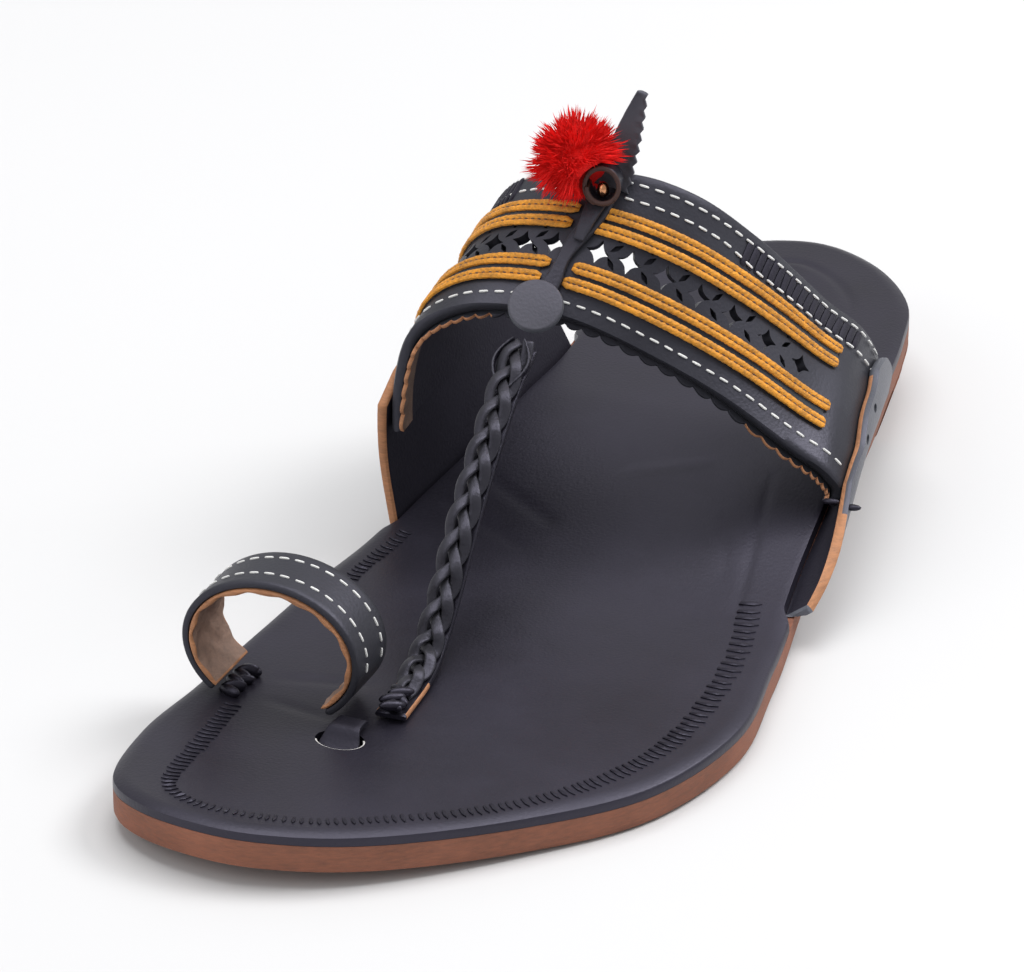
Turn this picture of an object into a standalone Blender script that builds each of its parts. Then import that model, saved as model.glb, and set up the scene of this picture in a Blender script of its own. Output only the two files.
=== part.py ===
"""A left kolhapuri sandal, standing on its sole: toe towards -Y, little-toe side towards +X, up +Z."""
import math

import bmesh
import bpy
import numpy as np
from mathutils import Matrix, Vector

# Driving sizes of the sole, metres
SOLE_LENGTH = 0.277
BALL_WIDTH = 0.110
OUTSOLE_THICKNESS = 0.0058
WAIST_THICKNESS = 0.0048
INSOLE_THICKNESS = 0.0026
HEEL_RISE = 0.0125
HEEL_LENGTH = 0.050
HEEL_TAPER = 0.0040
TOE_SPRING = 0.0045
TOE_SPRING_LENGTH = 0.060
FIT_GAP = 0.0003

# Driving sizes of the instep band and its two ears, metres
INSTEP_RISE = 0.066
BAND_THICKNESS = 0.0026
EAR_THICKNESS = 0.0022
EAR_LEVEL_STEP = 0.0003
BAND_START = 0.105
BAND_END = 0.955
CORD_WIDTH = 0.0030
CORD_THICKNESS = 0.0013
CUTOUT_RADIUS = 0.0026
CUTOUT_WAIST = 0.36
LACING_WIDTH = 0.0052
LACING_THICKNESS = 0.0014
LACING_RIBS = 14

# Driving sizes of the ornament on the instep, metres
DISC_RADIUS = 0.0066
DISC_THICKNESS = 0.0018
THONG_WIDTH = 0.0042
THONG_THICKNESS = 0.0014
CURL_RADIUS = 0.0044
CURL_WALL = 0.0012
CURL_WIDTH = 0.0046
BEAD_RADIUS = 0.0015
LEAF_LENGTH = 0.0226
LEAF_WIDTH = 0.0062
LEAF_THICKNESS = 0.0014
LEAF_TEETH = 8
LEAF_TOOTH = 0.0008
POMPOM_RADIUS = 0.0106
POMPOM_LOCKS = 42
POMPOM_DEPTH = 0.20
POMPOM_REST = 0.06
POMPOM_SHIFT = (-0.0062, 0.0, 0.0050)
LEAF_LEAN = (0.24, 0.10, 1.0)
CURL_FACING = (0.30, -1.0, 0.25)

# Driving sizes of the toe ring and the braid that leads to it, metres
RING_HALF_WIDTH = 0.0200
RING_HEIGHT = 0.0280
RING_STRAP = 0.0145
RING_THICKNESS = 0.0030
BRAID_WIDTH = 0.0064
BRAID_THICKNESS = 0.0032
BRAID_PITCH = 0.0076
BACKING_WIDTH = 0.0066
BACKING_THICKNESS = 0.0014
SLOT_LENGTH = 0.0105
SLOT_WIDTH = 0.0078
SLOT_PLACE = (-0.0165, -0.0932)
SLOT_CORNERS = 20
RING_PLACE = (-0.0350, -0.0805)
RING_FEET_ANGLES = (228, -48)
RING_ROUND_SHARE = 0.56
RING_SKEW = 0.0015
RING_LACING_PLACE = (-0.0425, -0.0850)
RING_LACING_LENGTH = 0.0130
RING_LACING_WIDTH = 0.0046
RING_LACING_HEIGHT = 0.0024
RING_LACING_RIBS = 3
TAB_WIDTH = 0.0056
TAB_THICKNESS = 0.0013

# Underside of the tab in the slot: place along the foot, height over the outsole, metres
TAB_PATH = ((-0.0964, 0.0003), (-0.0948, 0.0004), (-0.0930, 0.0017), (-0.0908, 0.0037), (-0.0864, 0.0036))

# Middle line of the braid's backing strap, from the instep down to the toe ring, metres
BRAID_PATH = (
    (-0.0166, -0.0020, 0.0548),
    (-0.0162, -0.0126, 0.0492),
    (-0.0152, -0.0246, 0.0415),
    (-0.0142, -0.0376, 0.0310),
    (-0.0136, -0.0480, 0.0200),
    (-0.0129, -0.0576, 0.0125),
    (-0.0115, -0.0676, 0.0108),
    (-0.0105, -0.0820, 0.0106),
)

# Sole outline: share of the length from the toe, then inner and outer edge as shares of the ball width
SOLE_ROWS = (
    (0.010, -0.362, -0.085),
    (0.037, -0.450, 0.044),
    (0.120, -0.496, 0.272),
    (0.200, -0.484, 0.430),
    (0.300, -0.466, 0.496),
    (0.400, -0.446, 0.464),
    (0.500, -0.405, 0.422),
    (0.600, -0.345, 0.397),
    (0.700, -0.322, 0.366),
    (0.800, -0.335, 0.320),
)
TOE_TIP_ACROSS = -0.200
HEEL_CENTRE_ACROSS = -0.022
HEEL_CENTRE_ALONG = 0.860
HEEL_HALF_WIDTH = 0.313
HEEL_ARC_ANGLES = (0, 30, 60, 90, 120, 150, 180)
HEEL_ARC_POWER = 1.15
RISE_START = -0.075
RISE_END = 0.172

# The upper as a whole, from the inner edge of the sole over the instep to the outer edge.
# Each row: place along the sole (shares of its length from the middle), place across
# (0 at the inner edge of the sole there, 1 at the outer), height over the outsole
# (shares of the instep rise); first at the band's front edge, then at its rear edge.
UPPER_ROWS = (
    (-0.013, 0.022, 0.000, 0.227, 0.022, 0.000),
    (-0.014, -0.006, 0.270, 0.206, -0.065, 0.298),
    (-0.013, -0.004, 0.510, 0.177, -0.105, 0.526),
    (-0.008, 0.030, 0.690, 0.152, -0.066, 0.704),
    (0.001, 0.127, 0.778, 0.128, 0.055, 0.875),
    (0.013, 0.254, 0.781, 0.110, 0.242, 0.980),
    (0.025, 0.395, 0.730, 0.106, 0.415, 1.000),
    (0.042, 0.562, 0.600, 0.121, 0.569, 0.915),
    (0.057, 0.734, 0.452, 0.153, 0.704, 0.725),
    (0.070, 0.895, 0.285, 0.204, 0.854, 0.450),
    (0.077, 0.992, 0.194, 0.231, 0.950, 0.314),
    (0.081, 1.030, 0.105, 0.254, 0.992, 0.150),
    (0.079, 0.974, 0.000, 0.262, 0.974, 0.000),
)

# Ears: share along the ear from its front end, then height of its top line in shares of the instep rise
EAR_LATERAL_ROWS = ((0.0, 0.045), (0.08, 0.071), (0.22, 0.108), (0.36, 0.144), (0.51, 0.150),
                    (0.69, 0.195), (0.83, 0.225), (0.93, 0.200), (1.0, 0.060))
EAR_MEDIAL_ROWS = ((0.0, 0.440), (0.12, 0.500), (0.35, 0.520), (0.60, 0.530), (0.80, 0.500),
                   (0.92, 0.400), (1.0, 0.180))
EAR_LATERAL_SPAN = (-0.58, 1.09)
EAR_MEDIAL_SPAN = (-0.03, 1.10)

# Cords: place across the band from its front edge, then where the inner and outer cords end
CORD_ROWS = (
    ("front_lower", 0.225, 0.200, 0.809),
    ("front_upper", 0.335, 0.200, 0.809),
    ("rear_lower", 0.625, 0.205, 0.798),
    ("rear_upper", 0.735, 0.205, 0.798),
)
CORD_TO_THONG = 0.0165
CUTOUT_LINE = 0.480
CUTOUT_STEPS = (0.250, 0.295, 0.340, 0.385, 0.428, 0.489, 0.528, 0.570, 0.612, 0.654, 0.696, 0.738)
LACING_LINE = 0.905
LACING_RUNS = (("medial", 0.205, 0.335), ("lateral", 0.680, 0.830))
THONG_SHARES = (0.442, 0.477)
DISC_CROSS = -0.020
CURL_CROSS = 0.880


def smooth_step(value):
    value = np.clip(value, 0.0, 1.0)
    return value * value * (3.0 - 2.0 * value)


def smooth_rows(rows, share):
    """Rows at even steps from 0 to 1, read on a smooth curve, and straight on past both ends."""
    rows = np.asarray(rows, float)
    last = len(rows) - 1
    place = share * last
    low = int(min(max(math.floor(place), 0), last - 1))
    slopes = np.gradient(rows, axis=0)
    if place < 0:
        return rows[0] + slopes[0] * place
    if place > last:
        return rows[last] + slopes[last] * (place - last)
    part = place - low
    square, cube = part ** 2, part ** 3
    return ((2 * cube - 3 * square + 1) * rows[low] + (cube - 2 * square + part) * slopes[low]
            + (3 * square - 2 * cube) * rows[low + 1] + (cube - square) * slopes[low + 1])


def smooth_path(points, count):
    """A smooth open curve through points, as count + 1 evenly numbered places."""
    return np.array([smooth_rows(points, step / count) for step in range(count + 1)])


def closed_outline(points, steps):
    """A smooth closed curve through points that lie at uneven distances."""
    points = np.asarray(points, float)
    total = len(points)
    before, after = np.roll(points, 1, 0), np.roll(points, -1, 0)
    reach_back = np.sqrt(np.linalg.norm(points - before, axis=1))[:, None]
    reach_on = np.sqrt(np.linalg.norm(after - points, axis=1))[:, None]
    slope = ((points - before) / reach_back * reach_on + (after - points) / reach_on * reach_back)
    slope = slope / (reach_back + reach_on)
    curve = []
    for index in range(total):
        nxt = (index + 1) % total
        for step in range(steps):
            part = step / steps
            square, cube = part ** 2, part ** 3
            curve.append((2 * cube - 3 * square + 1) * points[index]
                         + (cube - 2 * square + part) * slope[index] * reach_on[index]
                         + (3 * square - 2 * cube) * points[nxt]
                         + (cube - square) * slope[nxt] * reach_on[index])
    return np.array(curve)


def sole_outline():
    """The inner and the outer edge of the sole, each from the toe to the heel."""
    def place(across, share):
        return (across * BALL_WIDTH, (share - 0.5) * SOLE_LENGTH)
    ring = [place(TOE_TIP_ACROSS, 0.0)]
    ring += [place(outer, share) for share, inner, outer in SOLE_ROWS]
    for angle in HEEL_ARC_ANGLES:
        turn = math.radians(angle)
        across = math.copysign(abs(math.cos(turn)) ** HEEL_ARC_POWER, math.cos(turn))
        back = abs(math.sin(turn)) ** HEEL_ARC_POWER
        ring.append(place(HEEL_CENTRE_ACROSS + HEEL_HALF_WIDTH * across,
                          HEEL_CENTRE_ALONG + (1.0 - HEEL_CENTRE_ALONG) * back))
    ring += [place(inner, share) for share, inner, outer in reversed(SOLE_ROWS)]
    curve = closed_outline(ring, 16)
    curve = np.roll(curve, -int(curve[:, 1].argmin()), 0)
    far = int(curve[:, 1].argmax())
    outer_edge = curve[:far + 1]
    inner_edge = np.vstack([curve[far:], curve[:1]])[::-1]
    return inner_edge, outer_edge


INNER_EDGE, OUTER_EDGE = sole_outline()
TOE_Y = float(INNER_EDGE[0, 1])
HEEL_Y = float(INNER_EDGE[-1, 1])


def sole_edges(along):
    """Where the inner and outer edge of the sole lie at a place along it."""
    inner = np.interp(along, INNER_EDGE[:, 1], INNER_EDGE[:, 0])
    outer = np.interp(along, OUTER_EDGE[:, 1], OUTER_EDGE[:, 0])
    return float(inner), float(outer)


def sole_lift(along):
    """How far the sole rises: to the heel through the waist, and a little at the toe."""
    start, end = RISE_START * SOLE_LENGTH, RISE_END * SOLE_LENGTH
    rise = HEEL_RISE * smooth_step((along - start) / (end - start))
    toe = np.clip((TOE_Y + TOE_SPRING_LENGTH - along) / TOE_SPRING_LENGTH, 0.0, 1.0)
    return float(rise + TOE_SPRING * toe ** 2)


def outsole_top(along):
    return sole_lift(along) + OUTSOLE_THICKNESS


def outsole_bottom(along):
    """The underside, a little thinner from the waist back."""
    start, end = RISE_START * SOLE_LENGTH, RISE_END * SOLE_LENGTH
    thinner = (OUTSOLE_THICKNESS - WAIST_THICKNESS) * smooth_step((along - start) / (end - start))
    return sole_lift(along) + float(thinner)


def insole_top(along):
    return outsole_top(along) + FIT_GAP + INSOLE_THICKNESS


def upper_place(share, cross):
    """A point of the upper's outer face: share goes from the inner to the outer edge of the sole."""
    row = smooth_rows(UPPER_ROWS, share)
    along, across, up = row[:3] + (row[3:] - row[:3]) * cross
    along = along * SOLE_LENGTH
    inner, outer = sole_edges(along)
    return np.array([inner + across * (outer - inner), along, outsole_top(along) + up * INSTEP_RISE])


def upper_normal(share, cross):
    step = 0.004
    run = upper_place(share + step, cross) - upper_place(share - step, cross)
    side = upper_place(share, cross + step) - upper_place(share, cross - step)
    normal = np.cross(run, side)
    return normal / np.linalg.norm(normal)


def upper_point(share, cross, lift):
    """A point at a height over the upper's outer face."""
    return upper_place(share, cross) + upper_normal(share, cross) * lift


def share_at_height(side, cross, height):
    """How far round the upper a height over the outsole is reached, from the sole up."""
    shares = np.linspace(0.0, 0.34, 35)
    if side == "lateral":
        shares = 1.0 - shares
    heights = []
    for share in shares:
        row = smooth_rows(UPPER_ROWS, share)
        heights.append(row[2] + (row[5] - row[2]) * cross)
    return float(np.interp(height, heights, shares))


def new_material(name, colour, roughness, metallic=0.0):
    material = bpy.data.materials.new(name)
    material.use_nodes = True
    shader = material.node_tree.nodes["Principled BSDF"]
    shader.inputs["Base Color"].default_value = (*colour, 1.0)
    shader.inputs["Roughness"].default_value = roughness
    shader.inputs["Metallic"].default_value = metallic
    return material


def add_object(name, mesh, material, sharp=35):
    """Give a bmesh its object, its material and its smooth shading."""
    bmesh.ops.recalc_face_normals(mesh, faces=mesh.faces)
    data = bpy.data.meshes.new(name)
    mesh.to_mesh(data)
    mesh.free()
    data.materials.append(material)
    data.shade_smooth()
    data.set_sharp_from_angle(angle=math.radians(sharp))
    piece = bpy.data.objects.new(name, data)
    bpy.context.scene.collection.objects.link(piece)
    return piece


def cutter_from(name, mesh):
    bmesh.ops.recalc_face_normals(mesh, faces=mesh.faces)
    data = bpy.data.meshes.new(name)
    mesh.to_mesh(data)
    mesh.free()
    piece = bpy.data.objects.new(name, data)
    bpy.context.scene.collection.objects.link(piece)
    piece.hide_render = True
    piece.display_type = "WIRE"
    return piece


def cut(piece, cutter):
    boolean = piece.modifiers.new("cut_" + cutter.name, "BOOLEAN")
    boolean.operation = "DIFFERENCE"
    boolean.solver = "EXACT"
    boolean.object = cutter


def stitch_rings(mesh, rings, closed=False):
    """Skin a row of equal rings of points, with flat caps at both ends unless it closes on itself."""
    loops = [[mesh.verts.new(point) for point in ring] for ring in rings]
    total = len(loops[0])
    pairs = list(zip(loops, loops[1:]))
    if closed:
        pairs.append((loops[-1], loops[0]))
    for first, second in pairs:
        for index in range(total):
            nxt = (index + 1) % total
            mesh.faces.new((first[index], first[nxt], second[nxt], second[index]))
    if not closed:
        mesh.faces.new(loops[0][::-1])
        mesh.faces.new(loops[-1])


def wall(name, outer, inner, material, sharp=35):
    """A closed wall between two grids of points of the same size."""
    mesh = bmesh.new()
    rows, columns = len(outer), len(outer[0])
    top = [[mesh.verts.new(point) for point in row] for row in outer]
    low = [[mesh.verts.new(point) for point in row] for row in inner]
    for i in range(rows - 1):
        for j in range(columns - 1):
            mesh.faces.new((top[i][j], top[i + 1][j], top[i + 1][j + 1], top[i][j + 1]))
            mesh.faces.new((low[i][j], low[i][j + 1], low[i + 1][j + 1], low[i + 1][j]))
    for i in range(rows - 1):
        for j in (0, columns - 1):
            mesh.faces.new((top[i][j], top[i + 1][j], low[i + 1][j], low[i][j]))
    for j in range(columns - 1):
        for i in (0, rows - 1):
            mesh.faces.new((top[i][j], top[i][j + 1], low[i][j + 1], low[i][j]))
    return add_object(name, mesh, material, sharp)


def band_strip(name, shares, crosses, low_lift, high_lift, material):
    """A piece that follows the band, between two heights over its face."""
    outer = [[upper_point(s, c, high_lift(s, k)) for k, c in enumerate(crosses(s))] for s in shares]
    inner = [[upper_point(s, c, low_lift) for c in crosses(s)] for s in shares]
    return wall(name, outer, inner, material)


def even_steps(first, last, count):
    return [first + (last - first) * step / count for step in range(count + 1)]


def sole_stations(start, end, count):
    """Places along the sole, close together at both ends."""
    middle, half = (start + end) / 2, (end - start) / 2
    return [middle - half * math.cos(math.pi * step / count) for step in range(count + 1)]


def slab(name, stations, low, high, inset, material, taper=0.0):
    """A layer of the sole, from the inner to the outer edge at each station."""
    rings = []
    for along in stations:
        inner, outer = sole_edges(along)
        inner += inset(along, "medial")
        outer -= inset(along, "lateral")
        if outer - inner < FIT_GAP:
            inner, outer = (inner + outer - FIT_GAP) / 2, (inner + outer + FIT_GAP) / 2
        edge = min(taper, (outer - inner) / 4)
        rings.append(((inner + edge, along, low(along)), (outer - edge, along, low(along)),
                      (outer, along, high(along)), (inner, along, high(along))))
    mesh = bmesh.new()
    stitch_rings(mesh, rings)
    return add_object(name, mesh, material, 40)


def no_inset(along, side):
    return 0.0


def ear_inset(along, side):
    """The insole steps in where an ear stands on the outsole beside it."""
    span = EAR_LATERAL_SPAN if side == "lateral" else EAR_MEDIAL_SPAN
    row = UPPER_ROWS[-1] if side == "lateral" else UPPER_ROWS[0]
    front = (row[0] + (row[3] - row[0]) * span[0]) * SOLE_LENGTH
    rear = (row[0] + (row[3] - row[0]) * span[1]) * SOLE_LENGTH
    margin = 0.004
    inside = smooth_step((along - front + margin) / margin) * smooth_step((rear + margin - along) / margin)
    return float(inside) * (EAR_THICKNESS + 3 * FIT_GAP)


def build_sole(brown, black):
    stations = sole_stations(TOE_Y, HEEL_Y, 64)
    slab("outsole", stations, outsole_bottom, outsole_top, no_inset, brown)
    heel_stations = [HEEL_Y - HEEL_LENGTH * (1.0 - math.sin(math.pi / 2 * step / 24)) for step in range(25)]
    slab("heel", heel_stations, lambda along: 0.0, lambda along: outsole_bottom(along) - FIT_GAP,
         no_inset, brown, HEEL_TAPER)
    insole = slab("insole", stations, lambda along: outsole_top(along) + FIT_GAP, insole_top,
                  ear_inset, black)
    slot = bmesh.new()
    rings = []
    for up in (-1.0, 3.0):
        ring = []
        for index in range(SLOT_CORNERS):
            turn = 2 * math.pi * index / SLOT_CORNERS
            ring.append((SLOT_PLACE[0] + SLOT_LENGTH / 2 * math.cos(turn),
                         SLOT_PLACE[1] + SLOT_WIDTH / 2 * math.sin(turn),
                         outsole_top(SLOT_PLACE[1]) + up * INSOLE_THICKNESS))
        rings.append(ring)
    stitch_rings(slot, rings)
    cut(insole, cutter_from("slot_cutter", slot))


def build_ear(side, material):
    """One ear: it stands on the edge of the outsole and laps over the end of the band."""
    lateral = side == "lateral"
    rows = EAR_LATERAL_ROWS if lateral else EAR_MEDIAL_ROWS
    span = EAR_LATERAL_SPAN if lateral else EAR_MEDIAL_SPAN
    columns = 26 if lateral else 22
    levels = 6
    outer, inner = [], []
    for step in range(columns + 1):
        share = step / columns
        cross = span[0] + (span[1] - span[0]) * share
        top = float(np.interp(share, [row[0] for row in rows], [row[1] for row in rows]))
        floor = FIT_GAP / INSTEP_RISE
        heights = [floor + (top - floor) * level / levels for level in range(levels + 1)]
        places = [share_at_height(side, cross, height) for height in heights]
        outer.append([upper_point(place, cross, FIT_GAP + EAR_THICKNESS) for place in places])
        inner.append([upper_point(place, cross, FIT_GAP) for place in places])
    for grid in (outer, inner):
        for column in grid:
            for level, point in enumerate(column):
                floor = outsole_top(point[1]) + FIT_GAP
                point[2] = floor if level == 0 else max(point[2], floor + level * EAR_LEVEL_STEP)
    return wall("ear_" + side, outer, inner, material)


def build_band(black, gold):
    shares = even_steps(BAND_START, BAND_END, 54)
    crosses = even_steps(0.0, 1.0, 8)
    outer = [[upper_point(s, c, 0.0) for c in crosses] for s in shares]
    inner = [[upper_point(s, c, -BAND_THICKNESS) for c in crosses] for s in shares]
    band = wall("band", outer, inner, black)
    stars = bmesh.new()
    for share in CUTOUT_STEPS:
        centre = upper_place(share, CUTOUT_LINE)
        normal = upper_normal(share, CUTOUT_LINE)
        run = upper_place(share + 0.01, CUTOUT_LINE) - centre
        run = run - normal * run.dot(normal)
        run = run / np.linalg.norm(run)
        side = np.cross(normal, run)
        rings = []
        for depth in (-2.0, 1.0):
            ring = []
            for index in range(8):
                reach = CUTOUT_RADIUS if index % 2 == 0 else CUTOUT_RADIUS * CUTOUT_WAIST * math.sqrt(2)
                turn = math.pi / 4 * index
                ring.append(centre + normal * depth * BAND_THICKNESS
                            + (run * math.cos(turn) + side * math.sin(turn)) * reach)
            rings.append(ring)
        stitch_rings(stars, rings)
    cut(band, cutter_from("star_cutter", stars))
    for label, line, first, last in CORD_ROWS:
        middle = thong_share(line)
        build_cord("cord_" + label + "_medial", line, first, middle - CORD_TO_THONG, gold)
        build_cord("cord_" + label + "_lateral", line, middle + CORD_TO_THONG, last, gold)
    for side, start, end in LACING_RUNS:
        build_lacing("edge_lacing_" + side, start, end, black)


def cross_width(share, line, width):
    """A width on the band as a share of its distance from front edge to rear edge there."""
    reach = np.linalg.norm(upper_place(share, line + 0.05) - upper_place(share, line - 0.05)) / 0.1
    return width / reach


def build_cord(name, line, start, end, material):
    """A flat cord laid along the band, domed across and drawn in at its ends."""
    steps = 20

    def crosses(share):
        part = (share - start) / (end - start)
        draw = min(1.0, 0.55 + 8 * min(part, 1 - part))
        half = cross_width(share, line, CORD_WIDTH) / 2 * draw
        return (line - half, line, line + half)

    def top(share, index):
        return FIT_GAP + CORD_THICKNESS * (1.0 if index == 1 else 0.62)

    band_strip(name, even_steps(start, end, steps), crosses, FIT_GAP, top, material)


def build_lacing(name, start, end, material):
    """The row of crosswise thongs beside the rear edge, as one strip with its ribs raised."""
    steps = LACING_RIBS * 2

    def crosses(share):
        half = cross_width(share, LACING_LINE, LACING_WIDTH) / 2
        return (LACING_LINE - half, LACING_LINE, LACING_LINE + half)

    def top(share, index):
        rib = round((share - start) / (end - start) * steps) % 2
        return FIT_GAP + LACING_THICKNESS * (0.45 + 0.35 * rib + (0.2 if index == 1 else 0.0))

    band_strip(name, even_steps(start, end, steps), crosses, FIT_GAP, top, material)


def band_axes(share, cross):
    """Directions on the band at a place: across the foot, up towards the rear edge, outwards."""
    normal = Vector(upper_normal(share, cross))
    rear = Vector(upper_place(share, cross + 0.02) - upper_place(share, cross - 0.02))
    rear = (rear - normal * rear.dot(normal)).normalized()
    return rear.cross(normal).normalized(), rear, normal


def thong_share(cross):
    """The thong runs a little slantwise over the band."""
    return THONG_SHARES[0] + (THONG_SHARES[1] - THONG_SHARES[0]) * cross


def build_ornament(leather, brass, red):
    build_disc(leather)
    build_thong(leather)
    centre, axis = build_curl(leather)
    build_bead(centre, axis, brass)
    build_leaf(centre, axis, leather)
    build_pompom(centre, axis, red)


def build_disc(leather):
    """The round leather leaf at the front edge, over the head of the braid."""
    side, rear, normal = band_axes(thong_share(DISC_CROSS), 0.1)
    lift = FIT_GAP + THONG_THICKNESS + FIT_GAP
    centre = Vector(upper_place(thong_share(DISC_CROSS), DISC_CROSS)) + normal * lift
    mesh = bmesh.new()
    rings = []
    for height, radius in ((0.0, DISC_RADIUS), (DISC_THICKNESS * 0.6, DISC_RADIUS),
                           (DISC_THICKNESS, DISC_RADIUS * 0.9)):
        ring = []
        for index in range(28):
            turn = 2 * math.pi * index / 28
            ring.append(centre + side * math.cos(turn) * radius + rear * math.sin(turn) * radius + normal * height)
        rings.append(ring)
    stitch_rings(mesh, rings)
    add_object("disc", mesh, leather)


def build_thong(leather):
    """The thong that runs from the disc over the band to the curl."""
    half = THONG_WIDTH / 2
    outer, inner = [], []
    for step in range(17):
        cross = 0.02 + (0.80 - 0.02) * step / 16
        side, rear, normal = band_axes(thong_share(cross), cross)
        place = Vector(upper_place(thong_share(cross), cross))
        high = normal * (FIT_GAP + THONG_THICKNESS)
        outer.append([place + side * reach * half + high for reach in (-1, 0, 1)])
        inner.append([place + side * reach * half + normal * FIT_GAP for reach in (-1, 0, 1)])
    wall("centre_thong", outer, inner, leather)


def build_curl(leather):
    """The curled end of the thong, a rolled loop that faces the toe."""
    normal = Vector(upper_normal(thong_share(CURL_CROSS), CURL_CROSS))
    leaf_up = Vector(LEAF_LEAN).normalized()
    axis = Vector(CURL_FACING)
    axis = (axis - leaf_up * axis.dot(leaf_up)).normalized()
    base = Vector(upper_place(thong_share(CURL_CROSS), CURL_CROSS))
    centre = base + normal * (CURL_RADIUS + 3 * FIT_GAP)
    up = (Vector((0, 0, 1)) - axis * axis.z).normalized()
    across = axis.cross(up)
    mesh = bmesh.new()
    rings = []
    for index in range(28):
        turn = 2 * math.pi * index / 28
        out = across * math.cos(turn) + up * math.sin(turn)
        ring = []
        for radius, depth in ((CURL_RADIUS, -0.5), (CURL_RADIUS, 0.5),
                              (CURL_RADIUS - CURL_WALL, 0.5), (CURL_RADIUS - CURL_WALL, -0.5)):
            ring.append(centre + out * radius + axis * depth * CURL_WIDTH)
        rings.append(ring)
    stitch_rings(mesh, rings, closed=True)
    add_object("curl", mesh, leather)
    return centre, axis


def build_bead(centre, axis, brass):
    up = (Vector((0, 0, 1)) - axis * axis.z).normalized()
    place = centre - up * (CURL_RADIUS - CURL_WALL - BEAD_RADIUS - FIT_GAP)
    mesh = bmesh.new()
    bmesh.ops.create_icosphere(mesh, subdivisions=2, radius=BEAD_RADIUS, matrix=Matrix.Translation(place))
    add_object("bead", mesh, brass)


def leaf_frame(centre, axis):
    """The leaf stands just behind the curl and leans a little outwards."""
    up = Vector(LEAF_LEAN).normalized()
    back = -axis
    across = up.cross(back)
    foot = centre + back * (CURL_WIDTH / 2 + 2 * FIT_GAP) - up * CURL_RADIUS * 0.4
    return foot, up, back, across


def leaf_outline():
    """Half widths of the leaf on its two sides, from foot to tip, with small teeth."""
    rows = []
    steps = LEAF_TEETH * 2
    for step in range(steps + 1):
        share = step / steps
        half = LEAF_WIDTH / 2 * (1.0 - 0.88 * share ** 2.2)
        tooth = LEAF_TOOTH * (step % 2) * (1.0 - share * 0.5)
        rows.append((share * LEAF_LENGTH, half + tooth * 0.4, half + tooth))
    return rows


def build_leaf(centre, axis, leather):
    foot, up, back, across = leaf_frame(centre, axis)
    mesh = bmesh.new()
    rings = []
    for height, left, right in leaf_outline():
        rings.append([foot + up * height - across * left, foot + up * height + across * right,
                      foot + up * height + across * right + back * LEAF_THICKNESS,
                      foot + up * height - across * left + back * LEAF_THICKNESS])
    stitch_rings(mesh, rings)
    add_object("leaf", mesh, leather, 30)


def lock_directions(count):
    """Directions spread evenly over a ball."""
    golden = math.pi * (3 - math.sqrt(5))
    places = []
    for index in range(count):
        height = 1 - 2 * (index + 0.5) / count
        ring = math.sqrt(1 - height ** 2)
        places.append((ring * math.cos(golden * index), ring * math.sin(golden * index), height))
    return np.array(places)


def build_pompom(curl_centre, axis, red):
    """The pompom: a ball with pointed locks, flattened on the band, cut clear of curl and leaf."""
    across = axis.cross(Vector((0, 0, 1))).normalized()
    centre = curl_centre + Vector(POMPOM_SHIFT)
    rest_share = thong_share(CURL_CROSS) - POMPOM_REST
    normal = Vector(upper_normal(rest_share, CURL_CROSS))
    rest = Vector(upper_place(rest_share, CURL_CROSS)) + normal * (CORD_THICKNESS + 3 * FIT_GAP)
    locks = lock_directions(POMPOM_LOCKS)
    mesh = bmesh.new()
    bmesh.ops.create_icosphere(mesh, subdivisions=3, radius=1.0)
    for vert in mesh.verts:
        direction = np.array(vert.co.normalized())
        closest = float(np.max(locks @ direction))
        peak = max(0.0, (closest - 0.93) / 0.07)
        place = centre + Vector(direction) * POMPOM_RADIUS * (1.0 - POMPOM_DEPTH * (1.0 - peak))
        depth = (rest - place).dot(normal)
        vert.co = place + normal * max(0.0, depth)
    pompom = add_object("pompom", mesh, red, 180)
    room = bmesh.new()
    rings = []
    for depth in (-1.0, 6.0):
        ring = []
        for index in range(24):
            turn = 2 * math.pi * index / 24
            out = across * math.cos(turn) + across.cross(axis) * math.sin(turn)
            ring.append(curl_centre + out * (CURL_RADIUS + 2 * FIT_GAP) + axis * depth * CURL_WIDTH)
        rings.append(ring)
    stitch_rings(room, rings)
    cut(pompom, cutter_from("curl_room", room))
    foot, leaf_up, back, leaf_across = leaf_frame(curl_centre, axis)
    slot = bmesh.new()
    rings = []
    reach = LEAF_WIDTH / 2 + LEAF_TOOTH + 2 * FIT_GAP
    for height in (-0.01, LEAF_LENGTH):
        base = foot + leaf_up * height
        front, rear = base - back * 2 * FIT_GAP, base + back * 2 * POMPOM_RADIUS
        rings.append([front - leaf_across * reach, front + leaf_across * 3 * reach,
                      rear + leaf_across * 3 * reach, rear - leaf_across * reach])
    stitch_rings(slot, rings)
    cut(pompom, cutter_from("leaf_room", slot))


def ring_point(turn, inset):
    """A point of the toe ring's loop, turning from its inner foot over the top to its outer foot."""
    half = RING_HALF_WIDTH - inset
    tall = RING_HEIGHT * RING_ROUND_SHARE - inset
    rise = RING_HEIGHT * (1.0 - RING_ROUND_SHARE)
    return half * math.cos(turn), rise + tall * math.sin(turn)


def build_toe_ring(leather):
    """The toe ring: one strap bent over the big toe, standing on the insole on two feet."""
    start, end = [math.radians(angle) for angle in RING_FEET_ANGLES]
    outer, inner = [], []
    for step in range(33):
        turn = start + (end - start) * step / 32
        for grid, inset in ((outer, 0.0), (inner, RING_THICKNESS)):
            across, up = ring_point(turn, inset)
            row = []
            for reach in (-0.5, 0.0, 0.5):
                along = RING_PLACE[1] + reach * RING_STRAP + RING_SKEW * up / RING_HEIGHT
                row.append((RING_PLACE[0] + across, along, insole_top(along) + FIT_GAP + max(up, 0.0)))
            grid.append(row)
    wall("toe_ring", outer, inner, leather)


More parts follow.
